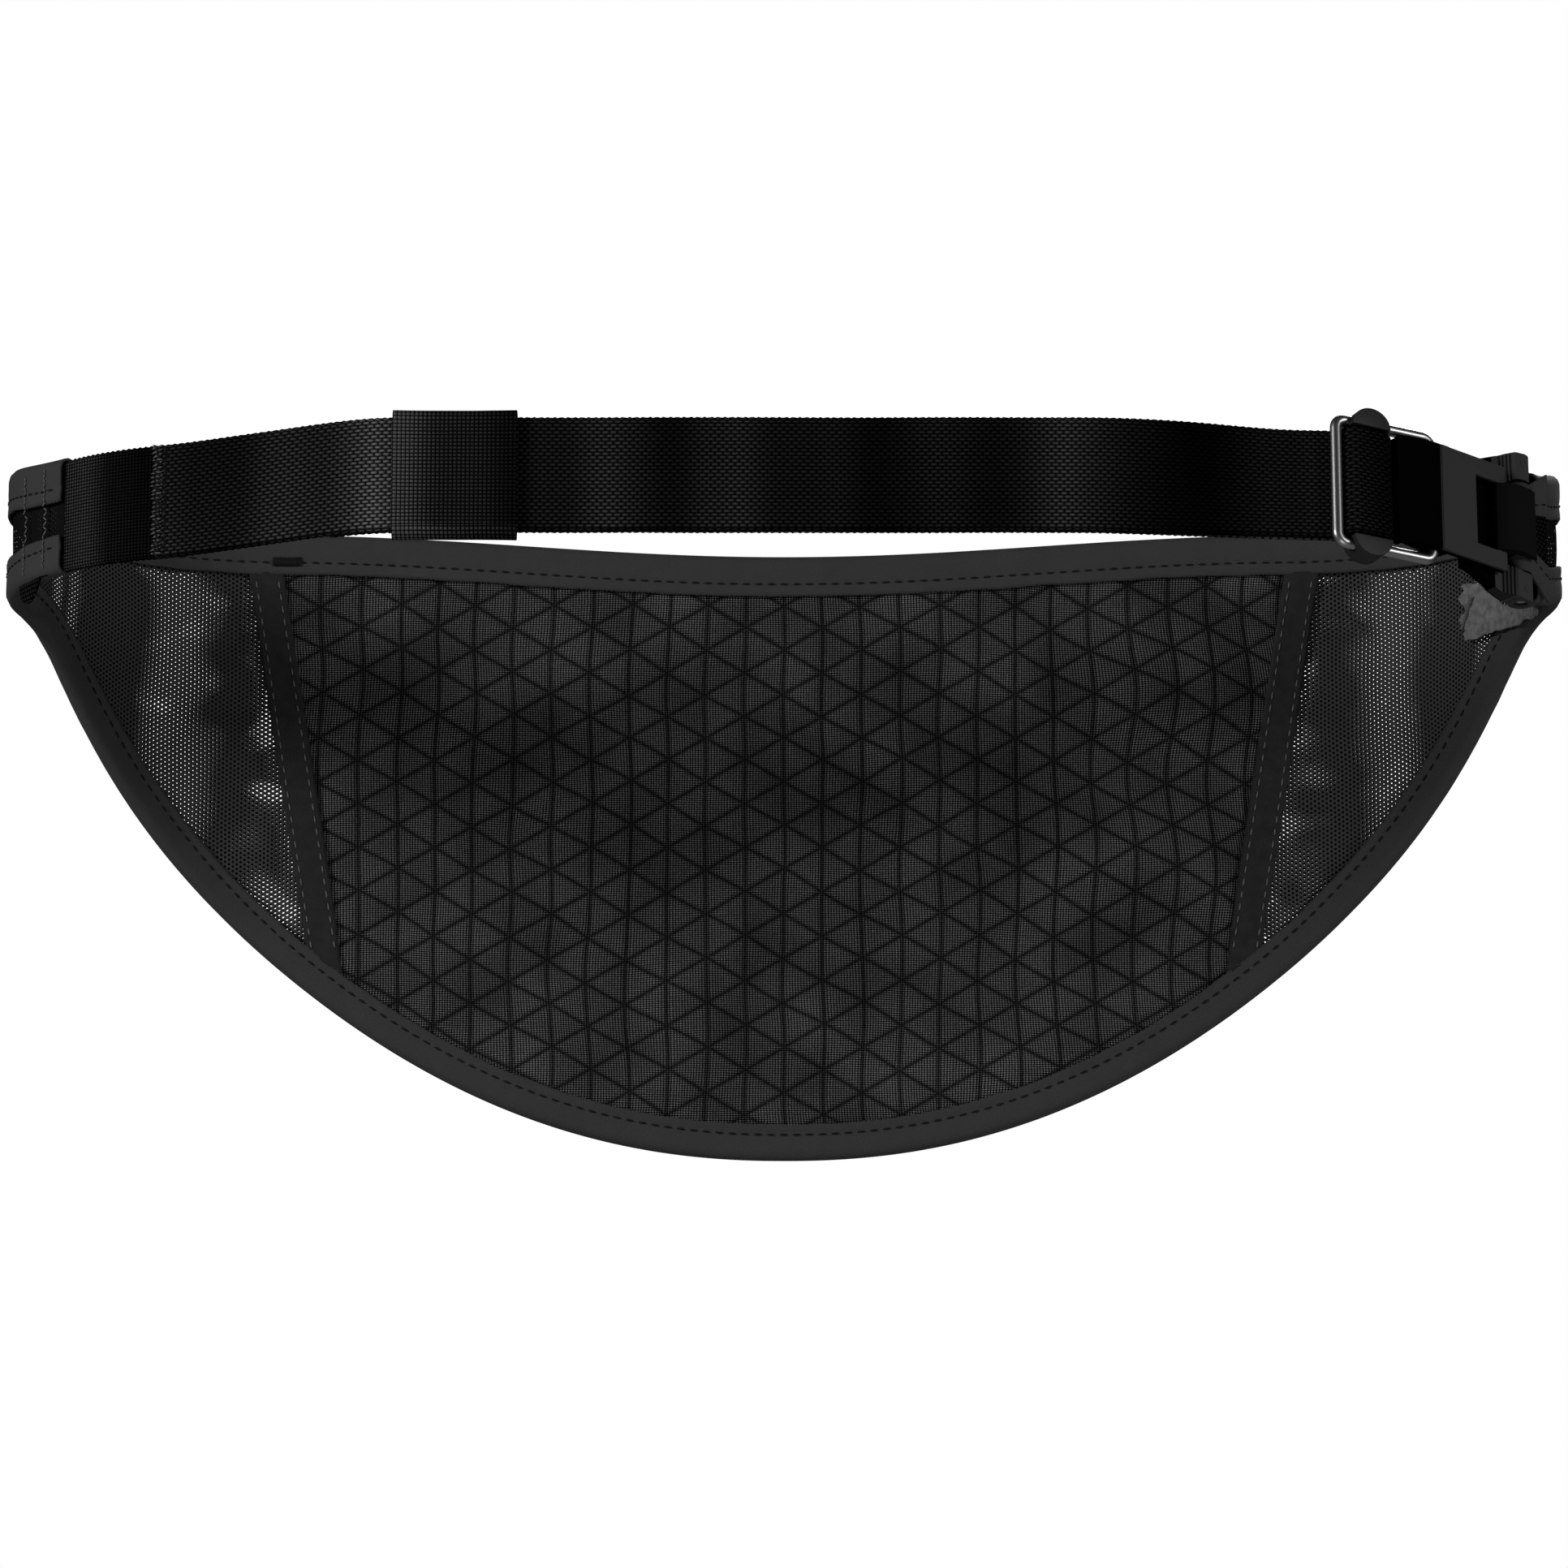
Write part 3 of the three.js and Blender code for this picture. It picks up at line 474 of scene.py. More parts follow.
def net_sheet(name, side, layer, material):
    """A honeycomb net: triangles whose corners are cut back to hexagons, each hexagon inset."""
    low_run, high_run = SEAM_AT - 14, TAB_END[side]
    low, high = POUCH_BOTTOM + 30, POUCH_TOP
    edge = NET_PITCH * math.sqrt(3)
    row = edge * math.sqrt(3) / 2
    columns = int((high_run - low_run) / edge)
    rows = int((high - low) / row)
    bm = bmesh.new()
    bmesh.ops.create_grid(bm, x_segments=columns, y_segments=rows, size=0.5)
    for vert in bm.verts:
        column = round((vert.co.x + 0.5) * columns)
        line = round((vert.co.y + 0.5) * rows)
        vert.co = ((column + 0.5 * (line % 2)) * edge + low_run, line * row + low, line)
    outside = [
        face for face in bm.faces
        if not bottom_edge(side * face.calc_center_median().x) < face.calc_center_median().y + 2
        or face.calc_center_median().x < seam_run(face.calc_center_median().y) - 7
        or face.calc_center_median().y > top_edge(side * face.calc_center_median().x) + 2
    ]
    bmesh.ops.delete(bm, geom=outside, context="FACES")
    cut = []
    for face in bm.faces:
        left = min(face.verts, key=lambda v: (v.co.x, v.co.y))
        others = [v for v in face.verts if v is not left]
        far = max(others, key=lambda v: (v.co - left.co).xy.length)
        across = [v for v in face.verts if v not in (left, far)]
        short = (left.co - far.co).xy.length < (across[0].co - across[1].co).xy.length
        cut.append((left, far) if short else tuple(across))
    for first, second in cut:
        bmesh.ops.connect_verts(bm, verts=[first, second])
    for vert in bm.verts:
        vert.co.z = 0
    bmesh.ops.bevel(
        bm, geom=bm.verts[:], affect="VERTICES", offset_type="PERCENT", offset=33.3,
        segments=1, profile=0.5, material=-1,
    )
    outside = []
    for face in bm.faces:
        middle = face.calc_center_median()
        run = side * middle.x
        inside = bottom_edge(run) + EDGE_INSET < middle.y < top_edge(run) - EDGE_INSET
        if not inside or middle.x < seam_run(middle.y) - SEAM_LAP + 0.6 or len(face.verts) < 5:
            outside.append(face)
    bmesh.ops.delete(bm, geom=outside, context="FACES")
    stretched = {}
    for face in bm.faces:
        middle = face.calc_center_median()
        pull = stretch(side * middle.x, middle.y)
        stretched.setdefault(min(len(NET_STRANDS) - 1, int(pull * len(NET_STRANDS))), []).append(face)
    rim = set()
    for level, faces in stretched.items():
        strand = NET_STRANDS[level] if layer > 0 else 0.24
        rims = bmesh.ops.inset_individual(bm, faces=faces, thickness=strand, use_even_offset=True)
        rim.update(rims["faces"])
    bmesh.ops.delete(bm, geom=[face for face in bm.faces if face not in rim], context="FACES")
    bm.verts.index_update()
    spots = {}
    for vert in bm.verts:
        run, height = side * vert.co.x, vert.co.y
        spots[vert.index] = (run, height)
        reach = 1 if layer < 0 else 0.8
        vert.co = wrap(run, layer * NET_OFFSET + reach * wing_slack(run, height, layer), height)
    pattern_map(bm, spots)
    if side > 0:
        bmesh.ops.reverse_faces(bm, faces=bm.faces)
    return finished(name, bm, material)


# The outer layer is the same net yarn as the inner, painted darker as shade behind the inner layer.
net_yarns = {-1: net_finish("net_yarn_inner", NET), 1: net_finish("net_yarn_outer_shaded", NET_FAR_SHADED)}
for label, side in (("left", -1), ("right", 1)):
    for layer_label, layer in (("inner", -1), ("outer", 1)):
        net = net_sheet(f"net_{label}_{layer_label}", side, layer, net_yarns[layer])
        set_on(net, "pouch", "mesh", f"wing_mesh_{label}_{layer_label}")


# ---- Thread ------------------------------------------------------------------------------
# Every seam is sewn with bonded black thread. A stitch is a short plump bead that lies along
# its row, pressed a little into the cloth at both ends.
THREAD_LIT = (0.085, 0.085, 0.085)
THREAD_SHADED = (0.007, 0.007, 0.007)
STITCH_PITCH = 2.9
STITCH_LONG = 2.1
STITCH_WIDE = 0.5

# The one black thread is made in two tones: the lighter is a painted highlight, the darker painted shade.
lit_thread_yarn = finish_of("lit_thread_yarn", THREAD_LIT, 0.6, specular=0.1)
shaded_thread = finish_of("shaded_thread_yarn", THREAD_SHADED, 0.6, specular=0.05)
for yarn in (lit_thread_yarn, shaded_thread):
    bump(yarn, speckle(yarn, 0.15), 0.05)


def thread(name, pairs, body, slot, at=wrap, bead=STITCH_WIDE, yarn=lit_thread_yarn):
    """One plump stitch between each pair of spots, each spot a run, an offset and a height."""
    bm = bmesh.new()
    for first, last in pairs:
        start, end = at(*first), at(*last)
        run, offset, height = first
        out = (at(run, offset + 1, height) - at(run, offset, height)).normalized()
        along = (end - start).normalized()
        beside = out.cross(along).normalized()
        turn = Matrix((along, beside, along.cross(beside))).transposed().to_4x4()
        scale = Matrix.Diagonal(((end - start).length / 2, bead / 2 * MM, bead * 0.4 * MM, 1))
        bmesh.ops.create_icosphere(
            bm, subdivisions=1, radius=1, matrix=Matrix.Translation((start + end) / 2) @ turn @ scale,
        )
    return set_on(finished(name, bm, yarn), body, slot)


def row_of(spots, pitch=STITCH_PITCH, long=STITCH_LONG):
    """Pairs of spots for a row of stitches that follows a line of spots."""
    pairs = []
    walked, due = 0.0, pitch / 2
    for first, last in zip(spots, spots[1:]):
        step = Vector(last) - Vector(first)
        while due <= walked + step.length:
            middle = Vector(first) + step * ((due - walked) / step.length)
            half = step.normalized() * long / 2
            pairs.append((middle - half, middle + half))
            due += pitch
        walked += step.length
    return pairs


def spread(low, high, count):
    return [low + (high - low) * i / (count - 1) for i in range(count)]


# ---- Seam tapes --------------------------------------------------------------------------
# A woven tape covers each seam between the panel and a wing, and is sewn down both edges.
TAPE_WIDTH = 8.2
TAPE_MIDDLE = -1.75
TAPE = (0.012, 0.012, 0.012)
TOP_BINDING = 9.3
BOTTOM_BINDING = 7.8


def tape_finish():
    material = finish_of("tape_weave", TAPE, 0.7, specular=0.0)
    uv, run, height = pattern_axes(material)
    slant = plus(material, run, height)
    bump(material, waves(material, slant, 0.07), 0.08)
    tint(material, speckle(material, 3, uv, 4), TAPE, (0.026, 0.026, 0.026))
    return material


def tape_height(side, up):
    edge = SEAM_AT - TAPE_WIDTH / 2
    low = bottom_edge(side * (edge - 2)) + BOTTOM_BINDING + 1
    return low + (top_edge(side * edge) - TOP_BINDING + 0.6 - low) * up


tape_weave = tape_finish()
for label, side in (("left", -1), ("right", 1)):
    def tape_place(across, up, side=side):
        height = tape_height(side, up)
        away = across if side > 0 else 1 - across
        run = seam_run(height) - TAPE_WIDTH + TAPE_WIDTH * away
        slope = bottom_edge(side * (run + 0.5)) - bottom_edge(side * (run - 0.5))
        foot = bottom_edge(side * run) + BOTTOM_BINDING * math.hypot(1, slope) - 0.5
        height += (foot - tape_height(side, 0)) * (1 - up) ** 6
        crown = 0.12 * math.sin(math.pi * across) + 0.1 * noise.noise(Vector((run / 5, height / 6, side)))
        return side * run, TAPE_MIDDLE - crown, height

    tape = surface(f"tape_{label}", 10, 90, tape_place, tape_weave, 0.4)
    set_on(tape, "pouch", "seam_tape", f"seam_tape_{label}")
    for row, inset in (("near", 1.5), ("far", TAPE_WIDTH - 1.4)):
        heights = [tape_height(side, up) for up in spread(0.01, 0.99, 60)]
        spots = [(side * (seam_run(z) - TAPE_WIDTH + inset), TAPE_MIDDLE - 0.34, z) for z in heights]
        thread(f"tape_stitches_{label}_{row}", row_of(spots), "pouch", "seam_tape", bead=0.42)


# ---- Pocket front ------------------------------------------------------------------------
# The outer side of the pouch: a slack pocket below the zip and a narrow strip above it, both
# of the same knit as the back but plain. Both are folded under beside the zip.
ZIP_HEIGHT = 40.0
ZIP_GAP = 4.4
ZIP_HALF = 95.0
FRONT_LIFT = 1.5
POCKET_BULGE = 8.0
BINDING_EASE = 1.5


def bottom_clear(run):
    slope = bottom_edge(run + 0.5) - bottom_edge(run - 0.5)
    return bottom_edge(run) + (BOTTOM_BINDING + BINDING_EASE) * math.hypot(1, slope)


def top_clear(run):
    return top_edge(run) - TOP_BINDING - BINDING_EASE


def pocket_offset(run, height):
    across = max(0.0, 1 - (run / seam_run(height)) ** 2)
    low = bottom_clear(run)
    up = min(1.0, max(0.0, (height - low) / (ZIP_HEIGHT - ZIP_GAP - low)))
    body = math.sin(math.pi * up) ** 0.8 if 0 < up < 1 else 0.0
    lift = FRONT_LIFT * smooth(0, 0.35, up) * smooth(0, 4, top_clear(run) - height)
    return lift * smooth(0, 0.15, across) + POCKET_BULGE * across * body


def pocket_slack(run, height):
    """Soft creases of the pocket, falling from the zip's ends and across the belly."""
    across = max(0.0, 1 - (run / seam_run(height)) ** 2)
    low = bottom_clear(run)
    up = min(1.0, max(0.0, (height - low) / (ZIP_HEIGHT - ZIP_GAP - low)))
    held = smooth(0, 0.3, across) * smooth(0, 0.2, up) * (1 - smooth(0.86, 1, up))
    side = 1 if run >= 0 else -1
    fall = height - 30 + 0.9 * (92 - abs(run))
    crease = 1.1 * ridge(fall, 0, 5) + 0.8 * ridge(fall, -17, 7)
    broad = 1.5 * noise.noise(Vector((run / 34, height / 26, 8.2)))
    fine = 0.55 * noise.noise(Vector((run / 13 + side * height / 22, height / 12, 1.4)))
    return held * (broad + fine - crease * smooth(20, 60, abs(run)))


def front_place(height_at, across, up):
    run, height = panel_spot(2 * across - 1, lambda at: height_at(at, up))
    hem = 0.35 * (ridge(height, ZIP_HEIGHT - ZIP_GAP, 1.0) + ridge(height, ZIP_HEIGHT + ZIP_GAP, 1.0))
    under = ridge(height, ZIP_HEIGHT - ZIP_GAP - 2.6, 0.7)
    over = ridge(height, ZIP_HEIGHT + ZIP_GAP + 2.6, 0.7)
    valley = -0.28 * (under + over)
    return run, 0.7 + pocket_offset(run, height) + pocket_slack(run, height) + hem + valley, height


def shell_finish():
    material = finish_of("shell_knit", KNIT, 0.8, specular=0.0)
    uv, run, height = pattern_axes(material)
    weave = times(material, waves(material, run, 0.06), waves(material, height, 0.06))
    bump(material, weave, 0.09, 0.9)
    fibre = speckle(material, 0.5, uv, 3)
    patches = speckle(material, 30, uv, 4)
    lit = times(material, times(material, fibre, patches), plus(material, weave, 0.3))
    tint(material, lit, KNIT, (0.07, 0.07, 0.07))
    return material


shell_knit = shell_finish()
fronts = {
    "lower": (lambda at, up: bottom_edge(at) + EDGE_INSET
              + (ZIP_HEIGHT - ZIP_GAP - bottom_edge(at) - EDGE_INSET) * up, 120),
    "upper": (lambda at, up: ZIP_HEIGHT + ZIP_GAP
              + (top_edge(at) - EDGE_INSET - ZIP_HEIGHT - ZIP_GAP) * up, 24),
}
for label, (height_at, rows) in fronts.items():
    front = surface(
        f"pocket_front_{label}", 220, rows,
        lambda across, up, height_at=height_at: front_place(height_at, across, up),
        shell_knit, 0.7, outward=True,
    )
    set_on(front, "pouch", "knit", f"front_panel_{label}")
for label, height in (("lower", ZIP_HEIGHT - ZIP_GAP - 2.6), ("upper", ZIP_HEIGHT + ZIP_GAP + 2.6)):
    spots = [(run, 1.0 + pocket_offset(run, height), height) for run in spread(-104, 104, 140)]
    thread(f"zip_topstitch_{label}", row_of(spots), "pouch", "knit")
for label, side in (("left", -1), ("right", 1)):
    spots = []
    for height in spread(-26, 54, 60):
        run = side * (seam_run(height) - 8.2)
        spots.append((run, 1.0 + pocket_offset(run, height) + pocket_slack(run, height), height))
    thread(f"front_seam_stitches_{label}", row_of(spots), "pouch", "knit")


# ---- Zip ---------------------------------------------------------------------------------
# A nylon coil zip on woven tape, sewn behind the pocket's folded edges, with a metal slider
# that rides over both coils, a stop at each end and a flat metal pull on a bail.
ZIP_TAPE_FACE = 1.5
ZIP_TAPE_WIDTH = 7.5
COIL_PITCH = 1.15
COIL_WIDTH = 2.3
COIL_THICK = 1.4
NYLON = (0.006, 0.006, 0.006)

nylon = finish_of("nylon_coil", NYLON, 0.35, specular=0.5)
bump(nylon, speckle(nylon, 0.6), 0.04)
for label, side in (("lower", -1), ("upper", 1)):
    def zip_tape_place(across, up, side=side):
        height = ZIP_HEIGHT + side * (0.1 + (ZIP_TAPE_WIDTH - 0.1) * (up if side > 0 else 1 - up))
        return ZIP_HALF * (2 * across - 1), ZIP_TAPE_FACE - 0.25, height

    zip_tape = surface(f"zip_tape_cloth_{label}", 60, 6, zip_tape_place, tape_weave, 0.45, outward=True)
    set_on(zip_tape, "pouch", "seam_tape", f"zip_tape_{label}")
    coil_bm = bmesh.new()
    half = ZIP_HALF - 3.3
    count = int(2 * half / COIL_PITCH)
    for i in range(count):
        x = -half + (i + 0.5 + 0.5 * (side > 0)) * COIL_PITCH
        middle = wrap(x, ZIP_TAPE_FACE + 0.3 + COIL_THICK / 2, ZIP_HEIGHT + side * COIL_WIDTH * 0.5)
        size = Matrix.Diagonal((COIL_PITCH * 0.42 * MM, COIL_THICK / 2 * MM, COIL_WIDTH * 0.5 * MM, 1))
        bmesh.ops.create_uvsphere(
            coil_bm, u_segments=8, v_segments=6, radius=1, matrix=Matrix.Translation(middle) @ size,
        )
    set_on(finished(f"zip_teeth_{label}", coil_bm, nylon), "pouch", "zip_plastic", f"zip_coil_{label}")


def from_cad(name, node, material, body, slot, edge, segments=3, angle=28, local=None):
    """A finished piece with the CAD node's own shape, its edges rounded as they are in the mould.
    local turns a point into the two coordinates of its pattern map."""
    bm = bmesh.new()
    bm.from_mesh(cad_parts[node].data)
    bmesh.ops.remove_doubles(bm, verts=bm.verts, dist=1e-6)
    bmesh.ops.dissolve_limit(bm, angle_limit=math.radians(1), verts=bm.verts, edges=bm.edges)
    if local:
        bm.verts.index_update()
        pattern_map(bm, {vert.index: local(vert.co) for vert in bm.verts})
    piece = finished(name, bm, material)
    rounding = piece.modifiers.new("edges", "BEVEL")
    rounding.width = edge * MM
    rounding.segments = segments
    rounding.limit_method = "ANGLE"
    rounding.angle_limit = math.radians(angle)
    rounding.harden_normals = True
    return set_on(piece, body, slot, node)


WIRE = (0.16, 0.16, 0.165)
metal = finish_of("gunmetal", WIRE, 0.16, metallic=1.0)
bump(metal, speckle(metal, 0.25, detail=4), 0.012)
for label in ("left", "right"):
    from_cad(f"zip_end_{label}", f"zip_stop_{label}", nylon, "pouch", "zip_plastic", 0.3)
from_cad("zip_slider_body", "zip_slider", metal, "zip_slider", "gunmetal_wire", 0.22)
from_cad("zip_pull_tab", "zip_pull", metal, "zip_pull", "gunmetal_wire", 0.3)


# ---- Edge bindings -----------------------------------------------------------------------
# Dark grey knit tape is folded over the whole edge of the pouch, over the top from tab to
# tab and round the lower curve, and sewn through. Its raw edges are overlocked.
BINDING = (0.024, 0.024, 0.024)
BINDING_LIGHT = (0.036, 0.036, 0.036)
BINDING_LEG = 1.8
BINDING_THICK = 0.55
OVERLOCK_PITCH = 1.15


def binding_finish():
    material = finish_of("binding_knit", BINDING, 0.85, specular=0.1)
    uv, run, height = pattern_axes(material)
    up = waves(material, plus(material, run, height), 0.055)
    down = waves(material, sum_of(material, "SUBTRACT", run, height), 0.055)
    bump(material, times(material, up, down), 0.07, 0.8)
    fibre = speckle(material, 0.4, uv, 3)
    patches = speckle(material, 9, uv, 4)
    tint(material, times(material, plus(material, fibre, patches), 0.5), BINDING, BINDING_LIGHT)
    bump(material, fibre, 0.05)
    return material


binding_knit = binding_finish()


def edge_spot(edge, inward, run, depth, offset):
    """A spot of the folded binding, depth in from the outline, square to the outline."""
    slope = edge(run + 0.5) - edge(run - 0.5)
    length = math.hypot(1, slope)
    return run - inward * depth * slope / length, offset, edge(run) + inward * depth / length


def binding_piece(name, edge, inward, width, steps):
    def place(across, up):
        run = -TAB_END[-1] + (TAB_END[-1] + TAB_END[1]) * across
        leg = width - BINDING_LEG
        bow = math.pi * BINDING_LEG
        path = (2 * leg + bow) * up
        if path < leg:
            depth, offset = width - path, -BINDING_LEG
        elif path < leg + bow:
            turn = (path - leg) / BINDING_LEG
            depth, offset = BINDING_LEG * (1 - math.sin(turn)), -BINDING_LEG * math.cos(turn)
        else:
            depth, offset = BINDING_LEG + path - leg - bow, BINDING_LEG
        at_edge = smooth(width - 1.3, width, depth)
        scallop = 0.16 * math.sin(2 * math.pi * run / OVERLOCK_PITCH)
        depth += at_edge * (scallop + 0.3 * noise.noise((run / 9, up, 1)))
        pucker = 0.16 * noise.noise(Vector((run / 3.1, depth / 5, offset)))
        pressed = 0.22 * ridge(depth, width * 0.7, 0.9) * (1 if offset < 0 else -1)
        return edge_spot(edge, inward, run, depth, offset * (1 + pucker * 0.4) + pressed)

    return surface(name, steps, 22, place, binding_knit, BINDING_THICK, outward=inward > 0)


top = binding_piece("top_edge_binding", top_edge, -1, TOP_BINDING, 900)
set_on(top, "pouch", "binding", "top_binding")
bottom = binding_piece("bottom_edge_binding", bottom_edge, 1, BOTTOM_BINDING, 1100)
set_on(bottom, "pouch", "binding", "bottom_binding")
for label, edge, inward, width in (
    ("top", top_edge, -1, TOP_BINDING), ("bottom", bottom_edge, 1, BOTTOM_BINDING),
):
    for face, offset in (("inner", -BINDING_LEG - 0.22), ("outer", BINDING_LEG + 0.22)):
        runs = spread(-TAB_END[-1] + 2, TAB_END[1] - 2, 360)
        spots = [edge_spot(edge, inward, run, width * 0.7, offset) for run in runs]
        thread(f"{label}_binding_stitches_{face}", row_of(spots), "pouch", "binding", yarn=shaded_thread)
bartack = []
for i in range(18):
    run = -117 + 6.4 * i / 17
    bartack.append(((run, -BINDING_LEG - 0.45, 59.6), (run + 0.3, -BINDING_LEG - 0.45, 62.2)))
thread("top_binding_bartack", bartack, "pouch", "binding", bead=0.42, yarn=shaded_thread)


# ---- Strap line --------------------------------------------------------------------------
# The strap leaves the left tab, rounds the wearer, passes behind the ring's near leg, over
# the sliding bar and back as a tail. Its line is drawn in plan and then set to its height.
STRAP_WIDTH = 24.4
STRAP_THICK = 1.3
STRAP_HEIGHT = 56.2
STRAP_AT_TAB = 50.9
STRAP_LINE = -55.0
TAIL_LINE = -53.1
TAIL_END = -95.0
ELASTIC_END = 264.0
RING_YAW = math.radians(24)
RING_DROP = math.radians(5.5)
RING_ROLL = math.radians(-10)
RING_SPOT = Vector((115.5, -57.15, 54.5))
RING_LENGTH = 22.8
RING_WIRE = 1.2
RAIL_HEIGHT = 14.0
BAR_AT = 7.2
BAR_WIDTH = 8.2
PIN_RUN = 234.4
PIN_HEIGHT = 48.2
PIN_RADIUS = 1.25

ring_turn = Matrix.Rotation(RING_YAW, 3, "Z") @ Matrix.Rotation(RING_DROP, 3, "Y")
ring_turn = ring_turn @ Matrix.Rotation(RING_ROLL, 3, "X")
pin_spot = ring_turn.inverted() @ (wrap(PIN_RUN, 0, PIN_HEIGHT) / MM - RING_SPOT)
buckle_turn = ring_turn @ Matrix.Rotation(math.atan2(pin_spot.y, pin_spot.x - RING_LENGTH), 3, "Z")
buckle_spot = RING_SPOT + ring_turn @ Vector((RING_LENGTH, 0, 0))
PIN_AT = math.hypot(pin_spot.x - RING_LENGTH, pin_spot.y)


def ring_at(x, y, z):
    """A point given along the ring's rails, toward the wearer and up its legs."""
    return (RING_SPOT + ring_turn @ Vector((x, y, z))) * MM


def buckle_at(x, y, z):
    """A point given from the ring's far leg toward the pin, toward the wearer and up."""
    return (buckle_spot + buckle_turn @ Vector((x, y, z))) * MM


def settle(x, y, z):
    """Sets an upright spot of the strap to its height, and tips and rolls its end with the ring."""
    middle = STRAP_HEIGHT + (STRAP_AT_TAB - STRAP_HEIGHT) * smooth(80, 132, -x)
    middle += (RING_SPOT.z - STRAP_HEIGHT) * smooth(60, 110, x)
    part = smooth(72, 108, x)
    tip = Matrix.Rotation(RING_DROP * part, 3, Vector((-math.sin(RING_YAW), math.cos(RING_YAW), 0)))
    roll = Matrix.Rotation(RING_ROLL * part, 3, ring_turn @ Vector((1, 0, 0)))
    return (roll @ tip @ (Vector((x, y, z + middle)) - RING_SPOT) + RING_SPOT) * MM


def plan_arc(x, y, radius, start, end, steps):
    """Points of an arc on the ring's plan, turned to the loop's plan."""
    points = []
    for i in range(steps + 1):
        angle = math.radians(start + (end - start) * i / steps)
        spot = Vector((x + radius * math.cos(angle), y + radius * math.sin(angle), 0))
        points.append((Matrix.Rotation(RING_YAW, 3, "Z") @ spot + RING_SPOT).xy)
    return points


def webbing_plan():
    points = []
    arc_end = RUN_HALF + END_ARC
    for run in spread(ELASTIC_END + 0.3, arc_end, 16)[:-1]:
        points.append((wrap(-run, 0, 0) / MM).xy)
    points += [Vector((x, STRAP_LINE)) for x in spread(-RUN_HALF, 107.5, 111)]
    points += plan_arc(0, 0, 2.15, 66, 12, 10)
    points += plan_arc(BAR_AT - BAR_WIDTH / 2 + 1, -0.3, 1.95, 192, 270, 10)
    points += plan_arc(BAR_AT + BAR_WIDTH / 2 - 1.3, 0, 2.25, 270, 450, 24)
    points += [Vector((x, TAIL_LINE)) for x in spread(114, TAIL_END, 106)]
    return points


webbing_points = webbing_plan()
webbing_lengths = [0.0]
for near, far in zip(webbing_points, webbing_points[1:]):
    webbing_lengths.append(webbing_lengths[-1] + (far - near).length)


def on_webbing(length, offset, height):
    """A point of the webbing: length from its joint, offset toward the wearer, height from its middle."""
    last = len(webbing_points) - 1
    i = min(last - 1, max(0, bisect.bisect_right(webbing_lengths, length) - 1))
    part = (length - webbing_lengths[i]) / (webbing_lengths[i + 1] - webbing_lengths[i])
    spot = webbing_points[i].lerp(webbing_points[i + 1], part)
    normals = []
    for j in (i, i + 1):
        along = (webbing_points[min(last, j + 1)] - webbing_points[max(0, j - 1)]).normalized()
        normals.append(Vector((-along.y, along.x)))
    spot = spot + normals[0].lerp(normals[1], part).normalized() * offset
    return settle(spot.x, spot.y, height)


def band_edge(part, width, thick):
    """The rounded section of a woven band: a height, an offset and the girth walked so far."""
    half, edge = width / 2 - thick / 2, math.pi * thick / 2
    flat = width - thick
    girth = part * 2 * (flat + edge)
    if girth < flat:
        return -half + girth, -thick / 2, girth
    if girth < flat + edge:
        turn = (girth - flat) / (thick / 2)
        return half + thick / 2 * math.sin(turn), -thick / 2 * math.cos(turn), girth
    if girth < 2 * flat + edge:
        return half - (girth - flat - edge), thick / 2, girth
    turn = (girth - 2 * flat - edge) / (thick / 2)
    return -half - thick / 2 * math.sin(turn), thick / 2 * math.cos(turn), girth


# ---- Strap -------------------------------------------------------------------------------
# A short length of ribbed elastic is sewn to the left tab, and 24 mm polypropylene webbing
# carries on from it. The webbing's yarns lie like bricks, with bands of painted sheen along it.
ELASTIC_THICK = 1.4
YARN_DARK = (0.0005, 0.0005, 0.0005)
YARN_LIT = (0.14, 0.14, 0.14)


def arch(material, value, pitch):
    """A row of humps from 0 to 1, one for each pitch."""
    turned = times(material, value, math.pi / pitch)
    return sum_of(material, "ABSOLUTE", sum_of(material, "SINE", turned, 0), 0)


def weave_finish(name, long, high, shift, depth, dark=YARN_DARK, light=YARN_LIT, dims=()):
    """Yarns of that length and height, in centimetres, each row shifted by part of a yarn.
    Painted light: the yarns are lit and the gaps between them painted shade, long bands of
    painted sheen run along the band, and each of dims darkens the yarns from one run to another,
    by that share, as painted shade."""
    material = finish_of(name, dark, 0.6, specular=0.0)
    uv, run, height = pattern_axes(material)
    nodes, links = nodes_of(material)
    row = sum_of(material, "FLOOR", sum_of(material, "DIVIDE", height, high), 0)
    moved = plus(material, run, times(material, row, long * shift))
    yarn = times(material, arch(material, moved, long), arch(material, height, high))
    yarn = sum_of(material, "POWER", yarn, 1.4)
    bump(material, yarn, depth)
    stretched = nodes.new("ShaderNodeCombineXYZ")
    links.new(run, stretched.inputs["X"])
    links.new(times(material, height, 0.12), stretched.inputs["Y"])
    sheen = speckle(material, 34, stretched.outputs[0], 1.5)
    sheen = sum_of(material, "POWER", times(material, sheen, 1.75), 5)
    # Painted sheen: long soft bands along the band, mixed with fine random fibre tone.
    sheen_and_fibre = times(material, sheen, plus(material, speckle(material, 0.5, uv, 2), 0.3))
    lit = times(material, yarn, sheen_and_fibre)
    for start, end, share in dims:
        lit = times(material, lit, fade(material, run, start, end, 1.0, 1.0 - share))
    tint(material, lit, dark, light)
    bump(material, speckle(material, 0.1), 0.03)
    return material


